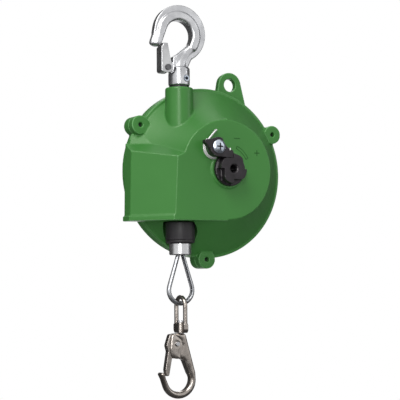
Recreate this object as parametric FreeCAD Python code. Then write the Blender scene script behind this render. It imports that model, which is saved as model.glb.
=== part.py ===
"""Spring tool balancer: a die-cast case with a tapered rope drum, hung from a swivel hook.

Frame: millimetres, +Z up, +X to the right of the ratchet side, +Y towards the back cover.
The origin is the point where the upper hook hangs, inside the top of its bowl.
The drum axis runs along Y; hooks, neck, bumper and rope share the vertical hang line X = Y = 0.
"""
import FreeCAD, Part
import math
import os

V = FreeCAD.Vector

# ---------------------------------------------------------------- driving dimensions (mm)
# case
CASE_R = 75.0            # outer radius of the round rim
DRUM_X = 32.3            # drum axis, right of the hang line
DRUM_Z = -130.3          # drum axis, below the hanging point
FACE_Y = -27.0           # front face plane
FACE_R = 43.4            # radius of the flat front face
JOINT_Y = 16.0           # plane where the front case meets the back cover
RIM_FRONT = 3.6          # thickness of the front case's rim
RIM_STEP = 2.6           # width of the rim's flat front edge
FLARE_SAG = 1.6          # how far the flared wall is hollowed
COVER_RIM = 10.0         # depth of the back cover's cylindrical rim
COVER_DOME = 7.0         # depth of the cover's dished back beyond its rim
COVER_FLAT_R = 56.0      # radius of the cover's flat back
WALL = 3.5               # casting wall
EDGE = 1.2               # small rounding on casting edges

# rope box at the lower left
BOX_DROP = 43.7          # box floor below the drum axis
BOX_LEFT = 78.0          # left wall, left of the drum axis
BOX_FACET = 30.8         # how deep the slanted facet runs back from the face
BOX_CREASE = 48.0        # crease between face and facet, left of the drum axis
BOX_DRAFT = 2.2          # how much the facet spreads towards the floor
BOX_RISE = 44.0          # top of the box above the drum axis, before its slopes are cut
TOP_SLOPE = 36.0         # slope of the band along the box top, degrees
ROOF_SLOPE = 63.0        # slope of the roof from that band up to the flared wall, degrees
ROOF_BACK = 6.4          # how high the band is
SIDE_LEAN = 16.0         # lean of the wall between the box and the left boss, degrees
TOP_DROP = -15.9         # height of the slope's left corner, counted down from the drum axis
LIP_H = 4.4              # moulded lip round the box floor
LIP_OUT = 1.2

# bosses for the case screws
BOSS_OUT = 1.0           # boss centres outside the rim
BOSS_START = 28.75       # angle of the right-hand boss, degrees
BOSS_R = 8.2
BOSS_Y = 8.6             # front face of the bosses
SCREW_D = 5.0
TAP_D = 4.2
HEAD_D = 8.5
HEAD_H = 5.0
SCREW_L = 9.0

# neck and upper hook
NECK_R = 12.15
NECK_TOP = -58.4
STEM_D = 11.0
STEM_HEAD_D = 17.0
STEM_HEAD_H = 7.0
NECK_FLOOR = 12.0        # metal between neck top and the stem's head
WASHER_T = 1.5
COLLAR_R = 9.3
COLLAR_H = 16.5
RUN = 0.3                # open clearance round turning pieces
BOWL_R = 12.5
BOWL_X = -1.5            # bowl centre, left of the hang line
HOOK_R = 24.8            # outer radius of the hook's back
HOOK_RISE = 13.8         # top of the hook above the hanging point
HOOK_T = 6.4             # thickness of the hook's flat web
BEAD_T = 11.0            # thickness of the bead round the bowl
BEAD_W = 8.2             # radial width of that bead
THROAT_T = 7.4           # thickness of the throat, which the latch straddles
PIVOT_X = -13.0          # latch pivot
PIVOT_Z = -41.8
LATCH_W = 10.4           # outside width of the latch channel
LATCH_T = 1.2            # latch sheet
LATCH_TOP = -20.8
LATCH_X = -17.6          # outer face of the latch web
LATCH_EYE = 4.6          # radius of the latch's pivot eyes
EAR_T = 5.4              # ear of the hook inside the latch
PIN_D = 3.0
ROLL_D = 5.0

# safety eye on the back cover
LUG_X = 61.7
LUG_Z = -49.4
LUG_R = 11.4
LUG_HOLE_D = 11.6
LUG_T = 6.0
LUG_BACK = 26.0          # rear face of the eye's plate

# ratchet wheel and pawl
WHEEL_R = 13.8
WHEEL_FLAT = 9.0         # distance of the four ratchet flats from the axis
WHEEL_RIM_R = 14.3
WHEEL_RIM_T = 3.6
WHEEL_TEETH_T = 6.4
WHEEL_RING_R = 16.0      # raised ring of the case round the wheel
WHEEL_RING_H = 1.2
WHEEL_GAP = 0.3
KEY_AF = 6.0             # hexagon socket in the wheel
PAWL_X = -14.3           # pawl pivot from the drum axis
PAWL_Z = 18.2
PAWL_R = 8.2
PAWL_T = 5.5
PAWL_NOSE_H = 6.2
PAWL_THUMB = 12.6        # reach of the thumb ear from the pivot
COIL_R = 8.7
COIL_D = 1.7

# shaft, drum and spring
SHAFT_D = 16.0
BUSH_T = 2.0
HUB_L = 8.0              # front hub inside the case, behind the wall
CLIP_T = 1.1
TANG_D = 12.0            # shaft end inside the wheel
TANG_FLAT = 10.0
ROPE_D = 3.0
DRUM_FRONT = -2.0        # front of the rope groove; the first turn lies in the plane Y = 0
DRUM_GROOVE = 17.0       # width of the wound rope
DRUM_TAPER = 12.0        # gain of radius along the cone
FLANGE_OVER = 3.5        # drum flange above the outer turn
FLANGE_T = 3.0
DRUM_WALL = 3.2
RIB_T = 2.8
SPRING_W = 15.0
SPRING_T = 0.9
SPRING_TURNS = 7
SPRING_R = 33.5          # outer radius of the relaxed mainspring
SPRING_Y = 8.4           # front edge of the mainspring strip
LID_T = 1.5              # pressed lid over the spring chamber

# rope end
BUMPER_R = 12.6
BUMPER_H = 18.4
CAP_R = 9.55
CAP_H = 10.1
CAP_WALL = 2.2
FERRULE_R = 4.6
FERRULE_H = 14.0
EYE_R = 10.7             # rope centreline radius round the thimble
EYE_DROP = 30.1          # thimble centre below the cap
THIMBLE_T = 2.7          # from the rope centreline in to the thimble's inner face
THIMBLE_W = 5.2

# bail and snap hook
BAIL_WIRE = 3.8
BAIL_W = 20.3
BAIL_H = 32.4
BAIL_BASE_H = 8.6
BAIL_BASE_W = 8.4
SNAP_T = 9.0
SNAP_R = 15.6            # outer radius of the snap hook's bowl
SNAP_BOWL_R = 10.4
SNAP_BEVEL = 1.5
GATE_W = 5.6             # gate channel, inside the hook's slot
GATE_T = 0.9
GATE_PIN_D = 2.6
GATE_PIVOT_X = -5.4
GATE_PIVOT_Z = -278.3
GATE_SWING = 26.0        # how far the slot lets the gate swing, degrees
GATE_STEPS = 6
GATE_CLEAR = 0.35
RIVET_D = 4.2
SWIVEL_D = 5.0
RIVET_DEPTH = 4.0        # how far the swivel rivet reaches into the snap hook

CLEAR = 0.3              # gap between bodies that only lie against each other
FIT = 0.05               # radial clearance of pins and bushes


# ---------------------------------------------------------------- helpers
def on_y(y):
    """Plane points (x, z) at depth y."""
    return lambda a, b: V(a, y, b)


def on_x(x):
    """Plane points (y, z) at x."""
    return lambda a, b: V(x, a, b)


def on_drum(a, b):
    """Profile points (radius, y) beside the drum axis."""
    return V(DRUM_X + a, b, DRUM_Z)


def on_hang(a, b):
    """Profile points (radius, z) beside the hang line."""
    return V(a, 0, b)


def edges_of(place, start, steps):
    """Edges from plane points; a step of two points is an arc through the first."""
    here = place(*start)
    edges = []
    for step in steps:
        if isinstance(step[0], tuple):
            mid, end = place(*step[0]), place(*step[1])
            edges.append(Part.Arc(here, mid, end).toShape())
        else:
            end = place(*step)
            edges.append(Part.LineSegment(here, end).toShape())
        here = end
    return edges


def closed_face(place, start, steps):
    """Face of a closed outline; the last step is drawn back to the start."""
    last = steps[-1][-1] if isinstance(steps[-1][0], tuple) else steps[-1]
    if last != start:
        steps = list(steps) + [start]
    return Part.Face(Part.Wire(edges_of(place, start, steps)))


def smooth_face(place, circles, grow=0.0):
    """Face bounded by circles (a, b, r) and their common tangents, taken anticlockwise.

    A positive r is a convex stretch and a negative one is concave, so growing every r by one
    amount moves the whole outline out by it.
    """
    count = len(circles)
    centres = [V(a, b, 0) for a, b, r in circles]
    radii = [r + grow for a, b, r in circles]
    normals = []
    for k in range(count):
        span = centres[(k + 1) % count] - centres[k]
        lean = (radii[(k + 1) % count] - radii[k]) / span.Length
        along = V(span).normalize()
        left = V(-along.y, along.x, 0)
        normals.append(along * lean + left * math.sqrt(1 - lean * lean))
    edges = []
    for k in range(count):
        first, last = normals[k - 1], normals[k]
        turn = math.atan2(first.x * last.y - first.y * last.x, first.dot(last))
        if radii[k] > 0:
            turn = turn % (2 * math.pi)
        else:
            turn = -(-turn % (2 * math.pi))
        half = FreeCAD.Rotation(V(0, 0, 1), math.degrees(turn / 2)).multVec(first)
        stops = [centres[k] - n * radii[k] for n in (first, half, last)]
        begin, middle, end = (place(p.x, p.y) for p in stops)
        edges.append(Part.Arc(begin, middle, end).toShape())
        onward = centres[(k + 1) % count] - last * radii[(k + 1) % count]
        edges.append(Part.LineSegment(end, place(onward.x, onward.y)).toShape())
    return Part.Face(Part.Wire(edges))


def smooth_slab(circles, y0, y1, bevel=0.0, grow=0.0):
    """A smooth (x, z) outline extruded from y0 to y1, its flat faces' edges rounded by bevel."""
    body = smooth_face(on_y(y0), circles, grow).extrude(V(0, y1 - y0, 0))
    if not bevel:
        return body
    return rounded(body, bevel, lambda e: e.BoundBox.YLength < 0.01)


def slab_y(start, steps, y0, y1):
    """An (x, z) outline extruded from y0 to y1."""
    return closed_face(on_y(y0), start, steps).extrude(V(0, y1 - y0, 0))


def slab_x(start, steps, x0, x1):
    """A (y, z) outline extruded from x0 to x1."""
    return closed_face(on_x(x0), start, steps).extrude(V(x1 - x0, 0, 0))


def turned_drum(start, *steps):
    """A (radius, y) outline turned about the drum axis."""
    face = closed_face(on_drum, start, list(steps))
    return face.revolve(V(DRUM_X, 0, DRUM_Z), V(0, 1, 0), 360)


def turned_hang(start, *steps):
    """A (radius, z) outline turned about the hang line."""
    face = closed_face(on_hang, start, list(steps))
    return face.revolve(V(0, 0, 0), V(0, 0, 1), 360)


def rod_y(r, y0, y1, x=DRUM_X, z=DRUM_Z):
    return Part.makeCylinder(r, y1 - y0, V(x, y0, z), V(0, 1, 0))


def rod_z(r, z0, z1, x=0.0, y=0.0):
    return Part.makeCylinder(r, z1 - z0, V(x, y, z0), V(0, 0, 1))


def block(x0, x1, y0, y1, z0, z1):
    return Part.makeBox(x1 - x0, y1 - y0, z1 - z0, V(x0, y0, z0))


def pipe(edges, r):
    """A round bar of radius r along joined edges."""
    wire = Part.Wire(edges)
    first = wire.Edges[0]
    start = first.valueAt(first.FirstParameter)
    along = first.tangentAt(first.FirstParameter)
    ring = Part.Wire(Part.makeCircle(r, start, along))
    return wire.makePipeShell([ring], True, False)


def hexagon(af, y0, y1, x=DRUM_X, z=DRUM_Z):
    """Hexagonal prism along Y, af across its flats."""
    r = af / math.sqrt(3)
    points = [
        (x + r * math.cos(math.radians(60 * k + 30)), z + r * math.sin(math.radians(60 * k + 30)))
        for k in range(6)
    ]
    return slab_y(points[0], points[1:], y0, y1)


def polar(r, degrees, x=0.0, z=0.0):
    a = math.radians(degrees)
    return (x + r * math.cos(a), z + r * math.sin(a))


def boss_centres():
    return [polar(CASE_R + BOSS_OUT, BOSS_START + 120 * k, DRUM_X, DRUM_Z) for k in range(3)]


def fuse(first, *others):
    return first.multiFuse(list(others)).removeSplitter()


def rounded(shape, radius, wanted):
    """Fillet the edges that wanted(edge) picks."""
    return shape.makeFillet(radius, [e for e in shape.Edges if wanted(e)])


def save(node, shape):
    shape.exportStep(f"parts/{node}.step")
    state = "" if shape.isValid() else "  NOT VALID"
    print(f"{node}: {len(shape.Solids)} solid(s), {shape.Volume / 1000:.2f} cm3{state}")


# ---------------------------------------------------------------- case
SLOPE_AHEAD = V(0.58, 0.81, 0)       # direction in which the box top rises
RIM_Y = JOINT_Y - RIM_FRONT
RELIEF_R = BUMPER_R + 2.0            # hollow in the flared wall that clears the bumper
FRONT_HUB_Y = FACE_Y + WALL + HUB_L
DRUM_BACK = SPRING_Y + SPRING_W + 1.2
REAR_HUB_Y = DRUM_BACK + LID_T + CLEAR
FLARE_END = CASE_R - RIM_STEP
BOX_FLOOR = DRUM_Z - BOX_DROP
BACK_Y = JOINT_Y + COVER_RIM + COVER_DOME
COVER_RIM_Y = JOINT_Y + COVER_RIM


def flare_middle(inset=0.0):
    """Middle point of the flared wall's arc, moved in by a wall thickness."""
    r = (FACE_R + FLARE_END) / 2 - inset
    y = (FACE_Y + RIM_Y) / 2
    run, rise = FLARE_END - FACE_R, RIM_Y - FACE_Y
    length = math.hypot(run, rise)
    return (r - FLARE_SAG * rise / length, y + FLARE_SAG * run / length)


def box_points(drop, out=0.0):
    """Corners of the rope box's section, drop below the drum axis."""
    spread = BOX_DRAFT * (drop / BOX_DROP)
    left = DRUM_X - BOX_LEFT + 1.0 - 0.45 * spread - out
    crease = DRUM_X - BOX_CREASE - spread - out
    z = DRUM_Z - drop
    return [
        V(DRUM_X, FACE_Y, z),
        V(crease, FACE_Y, z),
        V(left, FACE_Y + BOX_FACET - out / 2, z),
        V(left, JOINT_Y, z),
        V(DRUM_X, JOINT_Y, z),
    ]


def box_section(drop, out=0.0):
    return Part.makePolygon(box_points(drop, out) + box_points(drop, out)[:1])


def slope_tool(corner, slope):
    """Solid above a plane through corner that rises towards the drum."""
    lean = math.radians(slope)
    up = V(-math.sin(lean) * SLOPE_AHEAD.x, -math.sin(lean) * SLOPE_AHEAD.y, math.cos(lean))
    side = 4 * CASE_R
    tool = Part.makeBox(side, side, side, V(-side / 2, -side / 2, 0))
    tool.Placement = FreeCAD.Placement(corner, FreeCAD.Rotation(V(0, 0, 1), up))
    return tool


def rope_box():
    """Box with a sloping band along its top, a steep roof behind the band, and a lip round its floor."""
    body = Part.makeLoft([box_section(-BOX_RISE), box_section(BOX_DROP)], True, True)
    corner = box_points(0)[2]
    corner.z = DRUM_Z - TOP_DROP
    inward = ROOF_BACK / math.tan(math.radians(TOP_SLOPE))
    shoulder = corner + V(SLOPE_AHEAD.x * inward, SLOPE_AHEAD.y * inward, ROOF_BACK)
    side = Part.makeBox(2 * CASE_R, 4 * CASE_R, 2 * CASE_R, V(-2 * CASE_R, -2 * CASE_R, 0))
    side.rotate(V(0, 0, 0), V(0, 1, 0), SIDE_LEAN)
    side.translate(V(corner.x + EDGE, 0, corner.z))
    roof = body.cut(slope_tool(shoulder, ROOF_SLOPE)).cut(side)
    low = body.cut(slope_tool(corner, TOP_SLOPE))
    lip = Part.makeLoft(
        [box_section(BOX_DROP - LIP_H, LIP_OUT), box_section(BOX_DROP, LIP_OUT)], True, True
    )
    return low.multiFuse([roof, lip])


def case_boss(y0, y1):
    """The three screw bosses between two planes."""
    return [rod_y(BOSS_R, y0, y1, x, z) for x, z in boss_centres()]


def make_front_case():
    shell = turned_drum(
        (0, FACE_Y),
        (FACE_R - EDGE, FACE_Y),
        (polar(EDGE, -45, FACE_R - EDGE, FACE_Y + EDGE), (FACE_R, FACE_Y + EDGE)),
        (flare_middle(), (FLARE_END, RIM_Y)),
        (CASE_R - EDGE / 2, RIM_Y),
        (CASE_R, RIM_Y + EDGE / 2),
        (CASE_R, JOINT_Y),
        (0, JOINT_Y),
    )
    neck = rod_z(NECK_R, DRUM_Z + 30, NECK_TOP)
    neck = rounded(neck, 1.6, lambda e: e.BoundBox.ZMin > NECK_TOP - 0.1)
    ring = rod_y(WHEEL_RING_R, FACE_Y - WHEEL_RING_H, FACE_Y + 1)
    x, z = DRUM_X + PAWL_X, DRUM_Z + PAWL_Z
    post = rod_y(PAWL_R - 2.5, FACE_Y - 1.0, FACE_Y + 1, x, z)
    body = fuse(shell, rope_box(), neck, ring, post, *case_boss(BOSS_Y, JOINT_Y))
    body = body.cut(rod_z(RELIEF_R, BOX_FLOOR - 60, BOX_FLOOR))
    hollow = turned_drum(
        (0, FACE_Y + WALL),
        (FACE_R - WALL, FACE_Y + WALL),
        (flare_middle(WALL * 1.25), (FLARE_END - WALL - 1, RIM_Y)),
        (FLARE_END - WALL - 1, JOINT_Y),
        (0, JOINT_Y),
    )
    left = DRUM_X - BOX_LEFT + WALL + 1.5
    well = block(left, DRUM_X, FACE_Y + BOX_FACET, JOINT_Y - WALL, BOX_FLOOR + WALL, DRUM_Z)
    open_back = block(left, DRUM_X, RIM_Y - WALL, JOINT_Y, BOX_FLOOR + WALL, DRUM_Z)
    open_back = open_back.common(rod_y(CASE_R - WALL, FACE_Y, JOINT_Y))
    chute = block(-NECK_R, DRUM_X, -NECK_R, FACE_Y + BOX_FACET, BOX_FLOOR + WALL, DRUM_Z - 20)
    relief_wall = rod_z(RELIEF_R + WALL, BOX_FLOOR - 60, BOX_FLOOR)
    hollow = hollow.cut(relief_wall).multiFuse([well, open_back, chute])
    hub = rod_y(SHAFT_D / 2 + BUSH_T + 4, FACE_Y, FRONT_HUB_Y)
    body = body.cut(hollow.cut(hub))
    cuts = [
        rod_y(SHAFT_D / 2 + BUSH_T, FACE_Y - 5, FRONT_HUB_Y + 2),
        rod_z(STEM_D / 2 + FIT, NECK_TOP - 40, NECK_TOP + 5),
        rod_z(STEM_HEAD_D / 2 + 0.6, DRUM_Z + 40, NECK_TOP - NECK_FLOOR),
        rod_z(GUIDE_R, BOX_FLOOR - 1, BOX_FLOOR + WALL + 1),
        rod_y(TAP_D / 2 + 0.4, FACE_Y - 3, FACE_Y + WALL + 1, x, z),
        rod_y(COIL_D / 2 + FIT, FACE_Y - 1, FACE_Y + WALL - 1, *spring_anchor()),
    ]
    for bx, bz in boss_centres():
        cuts.append(rod_y(TAP_D / 2, BOSS_Y - 1, JOINT_Y + 1, bx, bz))
    for cutter in cuts:
        body = body.cut(cutter)
    return body.removeSplitter()


def spring_anchor():
    """Hole in the face that holds the pawl spring's leg."""
    return (DRUM_X + PAWL_X + 2.3, DRUM_Z + PAWL_Z + 15.0)


GUIDE_R = 6.0


def make_back_cover():
    rim = rod_y(CASE_R, JOINT_Y, COVER_RIM_Y)
    dome = turned_drum(
        (0, COVER_RIM_Y - 0.01),
        (CASE_R - 3, COVER_RIM_Y - 0.01),
        (CASE_R - 3, COVER_RIM_Y),
        (COVER_FLAT_R, BACK_Y),
        (0, BACK_Y),
    )
    lug_outline = slab_y(
        polar(LUG_R, 172, LUG_X, LUG_Z),
        [
            (polar(LUG_R, 90, LUG_X, LUG_Z), polar(LUG_R, 8, LUG_X, LUG_Z)),
            (LUG_X + LUG_R + 4.5, LUG_Z - 17),
            (LUG_X + LUG_R, DRUM_Z + 40),
            (LUG_X - LUG_R, DRUM_Z + 40),
            (LUG_X - LUG_R - 1.5, LUG_Z - 8),
        ],
        LUG_BACK - LUG_T,
        LUG_BACK,
    )
    body = fuse(rim, dome, lug_outline, *case_boss(JOINT_Y, COVER_RIM_Y))
    hollow = rod_y(CASE_R - WALL, JOINT_Y, COVER_RIM_Y - WALL)
    dish = turned_drum(
        (0, COVER_RIM_Y - WALL - 0.01),
        (CASE_R - 3 - WALL, COVER_RIM_Y - WALL - 0.01),
        (COVER_FLAT_R - WALL / 2, BACK_Y - WALL),
        (0, BACK_Y - WALL),
    )
    hub = rod_y(SHAFT_D / 2 + BUSH_T + 4, REAR_HUB_Y, BACK_Y)
    hollow = hollow.fuse(dish).cut(hub)
    for x, z in boss_centres():
        hollow = hollow.cut(rod_y(BOSS_R, JOINT_Y, COVER_RIM_Y, x, z))
    body = body.cut(hollow)
    cuts = [
        rod_y(SHAFT_D / 2 + BUSH_T, REAR_HUB_Y - 1, BACK_Y - WALL + 1),
        rod_y(LUG_HOLE_D / 2, LUG_BACK - LUG_T - 1, LUG_BACK + 1, LUG_X, LUG_Z),
    ]
    for x, z in boss_centres():
        cuts.append(rod_y(SCREW_D / 2 + 0.25, JOINT_Y - 1, COVER_RIM_Y + 1, x, z))
        cuts.append(rod_y(HEAD_D / 2 + 0.5, COVER_RIM_Y - HEAD_H + 1, COVER_RIM_Y + 9, x, z))
    for cutter in cuts:
        body = body.cut(cutter)
    return body.removeSplitter()


def make_case_screws():
    """Three socket-head screws from the rear, threaded into the front case's bosses."""
    seat = COVER_RIM_Y - HEAD_H + 1
    screws = []
    for x, z in boss_centres():
        head = rod_y(HEAD_D / 2, seat, seat + HEAD_H, x, z)
        clear_part = rod_y(SCREW_D / 2, JOINT_Y, seat, x, z)
        tapped = rod_y(TAP_D / 2, seat - SCREW_L, JOINT_Y, x, z)
        socket = hexagon(SCREW_D * 0.8, seat + HEAD_H / 2, seat + HEAD_H + 1, x, z)
        screws.append(fuse(head, clear_part, tapped).cut(socket))
    return Part.makeCompound(screws)


# ---------------------------------------------------------------- upper hook
COLLAR_FLOOR = NECK_TOP + WASHER_T
COLLAR_TOP = COLLAR_FLOOR + COLLAR_H
EAR_R = PIVOT_X - LATCH_X - LATCH_T - 0.4


def hook_circles():
    """Flat hook: foot in the collar, round back, flared point, bowl, diagonal throat."""
    foot = COLLAR_TOP - 3.0
    return [
        (6.3, foot, 1.5),
        (11.0, -37.2, -3.0),
        (0.0, HOOK_RISE - HOOK_R, HOOK_R),
        (-HOOK_R - 10.4, -10.0, -10.0),
        (-26.0, -21.0, 2.6),
        (-21.0, -21.6, 2.6),
        (BOWL_X, -BOWL_R, -BOWL_R),
        (-4.4, -34.0, 3.0),
        (-5.9, foot, 1.5),
    ]


def bead_circles():
    """Thick bead along the inside of the bowl, ending short of the latch's swing."""
    half = BEAD_W / 2
    end_r = half - 0.2
    end = polar(BOWL_R + half + 0.25, -36, BOWL_X, -BOWL_R)
    return [
        (end[0], end[1], end_r),
        (BOWL_X, -BOWL_R, BOWL_R + BEAD_W),
        (BOWL_X - BOWL_R - BEAD_W - 9.5, -11.0, -9.0),
        (-21.9, -20.8, 3.6),
        (BOWL_X, -BOWL_R, -BOWL_R),
    ]


def throat_circles():
    """Thickened throat that carries the bead on from the bowl down into the collar."""
    top = polar(BOWL_R + BEAD_W / 2 + 0.25, -36, BOWL_X, -BOWL_R)
    return [
        (0.6, COLLAR_TOP - 2.0, 5.6),
        (top[0], top[1], BEAD_W / 2 - 0.2),
        (-1.6, -33.6, 4.2),
    ]


def hook_bead():
    bead = smooth_slab(bead_circles(), -BEAD_T / 2, BEAD_T / 2, 2.6)
    return bead.fuse(smooth_slab(throat_circles(), -THROAT_T / 2, THROAT_T / 2, 2.4))


def make_upper_hook():
    web = smooth_slab(hook_circles(), -HOOK_T / 2, HOOK_T / 2, 1.4)
    collar = turned_hang(
        (0, COLLAR_FLOOR),
        (COLLAR_R - 0.8, COLLAR_FLOOR),
        (COLLAR_R, COLLAR_FLOOR + 0.8),
        (COLLAR_R, COLLAR_TOP - 2.2),
        ((COLLAR_R - 0.7, COLLAR_TOP - 0.7), (COLLAR_R - 2.2, COLLAR_TOP)),
        (0, COLLAR_TOP),
    )
    ear = fuse(
        rod_y(EAR_R, -EAR_T / 2, EAR_T / 2, PIVOT_X, PIVOT_Z),
        slab_y(
            (PIVOT_X, PIVOT_Z + EAR_R),
            [(-6, PIVOT_Z + 5.0), (-6, PIVOT_Z - EAR_R), (PIVOT_X, PIVOT_Z - EAR_R)],
            -EAR_T / 2,
            EAR_T / 2,
        ),
    )
    slots = rod_y(LATCH_EYE + 2.4, -COLLAR_R, -EAR_T / 2 - 0.1, PIVOT_X, PIVOT_Z)
    slots = slots.fuse(rod_y(LATCH_EYE + 2.4, EAR_T / 2 + 0.1, COLLAR_R, PIVOT_X, PIVOT_Z))
    body = fuse(collar.cut(slots), web, hook_bead(), ear)
    body = body.cut(rod_z(STEM_D / 2 + FIT, COLLAR_FLOOR - 1, COLLAR_FLOOR + COLLAR_H - 4))
    body = body.cut(rod_y(PIN_D / 2 + FIT, -9, 9, PIVOT_X, PIVOT_Z))
    body = body.cut(roll_pin(FIT, 2.0))
    return body.removeSplitter()


ROLL_Z = -50.9


def roll_pin(grow=0.0, longer=0.0):
    """Cross pin that ties the collar to the stem."""
    return rod_y(ROLL_D / 2 + grow, -COLLAR_R - 0.3 - longer, COLLAR_R + 0.3 + longer, 2.6, ROLL_Z)


def make_hook_roll_pin():
    pin = rod_y(ROLL_D / 2, -COLLAR_R - 0.3, COLLAR_R + 0.3, 2.6, ROLL_Z)
    bore = rod_y(ROLL_D / 2 - 1.1, -COLLAR_R - 1, COLLAR_R + 1, 2.6, ROLL_Z)
    slit = block(2.6 - ROLL_D, 2.6, -COLLAR_R - 1, COLLAR_R + 1, ROLL_Z - 0.35, ROLL_Z + 0.35)
    return pin.cut(bore).cut(slit)


def make_hook_stem():
    shoulder = NECK_TOP - NECK_FLOOR
    stem = rod_z(STEM_D / 2, shoulder, COLLAR_FLOOR + COLLAR_H - 4.5)
    head = rod_z(STEM_HEAD_D / 2, shoulder - CLEAR - STEM_HEAD_H, shoulder - CLEAR)
    return fuse(stem, head, rod_z(STEM_D / 2, shoulder - 1, shoulder)).cut(roll_pin(FIT, 2.0))


def make_neck_washer():
    ring = rod_z(COLLAR_R - 0.6, NECK_TOP, COLLAR_FLOOR)
    return ring.cut(rod_z(STEM_D / 2 + RUN, NECK_TOP - 1, COLLAR_FLOOR + 1))


def make_upper_latch():
    """Channel-shaped safety latch, open towards the shank."""
    inner_x = LATCH_X + 5.8
    start = (LATCH_X, LATCH_TOP)
    steps = [
        (inner_x, LATCH_TOP),
        (PIVOT_X + LATCH_EYE - 0.1, PIVOT_Z + 1.0),
        (polar(LATCH_EYE, -50, PIVOT_X, PIVOT_Z), (PIVOT_X, PIVOT_Z - LATCH_EYE)),
        (LATCH_X + 1.6, PIVOT_Z - LATCH_EYE + 0.1),
        ((LATCH_X + 0.4, PIVOT_Z - LATCH_EYE + 0.9), (LATCH_X, PIVOT_Z - 2.6)),
    ]
    body = slab_y(start, steps, -LATCH_W / 2, LATCH_W / 2)
    body = rounded(body, 1.0, lambda e: e.BoundBox.YLength < 0.01 and e.BoundBox.XMax < LATCH_X + 0.1)
    half = LATCH_W / 2 - LATCH_T
    body = body.cut(block(LATCH_X + LATCH_T, 0, -half, half, PIVOT_Z - 20, 0))
    return body.cut(rod_y(PIN_D / 2 + FIT, -9, 9, PIVOT_X, PIVOT_Z))


def make_latch_pin():
    half = LATCH_W / 2
    pin = rod_y(PIN_D / 2, -half - 0.9, half + 0.9, PIVOT_X, PIVOT_Z)
    heads = [
        rod_y(PIN_D / 2 + 1.1, -half - 1.2, -half - 0.2, PIVOT_X, PIVOT_Z),
        rod_y(PIN_D / 2 + 1.1, half + 0.2, half + 1.2, PIVOT_X, PIVOT_Z),
    ]
    return fuse(pin, *heads)


def make_latch_spring():
    """Torsion spring round the latch pin: one coil pack, one leg on the shank, one on the latch."""
    wire = 0.3
    y = -(HOOK_T / 2 + 0.15 + wire)
    coil = Part.makeTorus(PIN_D / 2 + 0.15 + wire, wire, V(PIVOT_X, y, PIVOT_Z), V(0, 1, 0))
    r = PIN_D / 2 + 0.15 + wire
    up = pipe([Part.LineSegment(V(PIVOT_X - r, y, PIVOT_Z),
                                V(LATCH_X + LATCH_T + wire + 0.1, y, PIVOT_Z + 9)).toShape()], wire)
    foot = pipe([Part.LineSegment(V(PIVOT_X + r, y, PIVOT_Z),
                                  V(PIVOT_X + r + 0.4, y, PIVOT_Z + 6.8)).toShape()], wire)
    return fuse(coil, up, foot)


# ---------------------------------------------------------------- ratchet
WHEEL_BACK = FACE_Y - WHEEL_RING_H - WHEEL_GAP
TEETH_BACK = WHEEL_BACK - WHEEL_RIM_T
WHEEL_FACE = TEETH_BACK - WHEEL_TEETH_T


def make_ratchet_wheel():
    """Disc with four ratchet teeth: each is a radial step, a flat and an arc."""
    steps = []
    reach = math.degrees(math.acos(WHEEL_FLAT / WHEEL_R))
    for k in range(4):
        step = 90 + 90 * k
        steps.append(polar(WHEEL_FLAT, step, DRUM_X, DRUM_Z))
        steps.append(polar(WHEEL_R, step + reach, DRUM_X, DRUM_Z))
        middle = polar(WHEEL_R, step + (reach + 90) / 2, DRUM_X, DRUM_Z)
        steps.append((middle, polar(WHEEL_R, step + 90, DRUM_X, DRUM_Z)))
    start = polar(WHEEL_R, 90, DRUM_X, DRUM_Z)
    last_middle = steps[-1][0]
    steps[-1] = (last_middle, start)
    teeth = slab_y(start, steps, WHEEL_FACE, TEETH_BACK)
    rim = rod_y(WHEEL_RIM_R, TEETH_BACK, WHEEL_BACK)
    body = fuse(teeth, rim)
    body = body.cut(tang(FIT).common(rod_y(40, WHEEL_FACE + 3.0, 0)))
    body = body.cut(hexagon(KEY_AF, WHEEL_FACE - 1, 0))
    lead = Part.makeCone(KEY_AF / 2 + 1.2, KEY_AF / 2, 1.2, V(DRUM_X, WHEEL_FACE, DRUM_Z), V(0, 1, 0))
    body = body.cut(lead)
    return body.cut(wheel_pin(FIT)).removeSplitter()


def tang(grow=0.0):
    """Flat-sided shaft end that drives in the wheel."""
    end = WHEEL_FACE + 3.0 - grow
    bar = rod_y(TANG_D / 2 + grow, end, FACE_Y)
    half = TANG_FLAT / 2 + grow
    return bar.common(block(DRUM_X - half, DRUM_X + half, end - 1, FACE_Y, DRUM_Z - 30, DRUM_Z + 30))


def wheel_pin(grow=0.0):
    """Roll pin through the wheel's rim and the shaft end."""
    y = WHEEL_BACK - WHEEL_RIM_T / 2
    return Part.makeCylinder(1.25 + grow, 2 * WHEEL_RIM_R - 1.6, V(DRUM_X - WHEEL_RIM_R + 0.8, y, DRUM_Z),
                             V(1, 0, 0))


def pawl_points():
    """Outline of the pawl: round end at the pivot, thumb ear, nose resting in the wheel's notch."""
    px, pz = DRUM_X + PAWL_X, DRUM_Z + PAWL_Z
    under = DRUM_Z + WHEEL_FLAT + 0.15
    nose_x = DRUM_X - 0.15
    start = (nose_x, under)
    steps = [
        (nose_x, under + PAWL_NOSE_H),
        ((nose_x - 4.5, under + PAWL_NOSE_H + 1.7), polar(PAWL_R, 62, px, pz)),
        (polar(PAWL_R, 90, px, pz), polar(PAWL_R, 128, px, pz)),
        polar(PAWL_THUMB, 152, px, pz),
        (polar(PAWL_THUMB + 1.2, 160, px, pz), polar(PAWL_THUMB, 168, px, pz)),
        polar(PAWL_R, 190, px, pz),
        (polar(PAWL_R, 220, px, pz), polar(PAWL_R, 255, px, pz)),
        (px + 6.0, under + 0.35),
    ]
    return start, steps


PAWL_FRONT = WHEEL_FACE + 0.6


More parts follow.
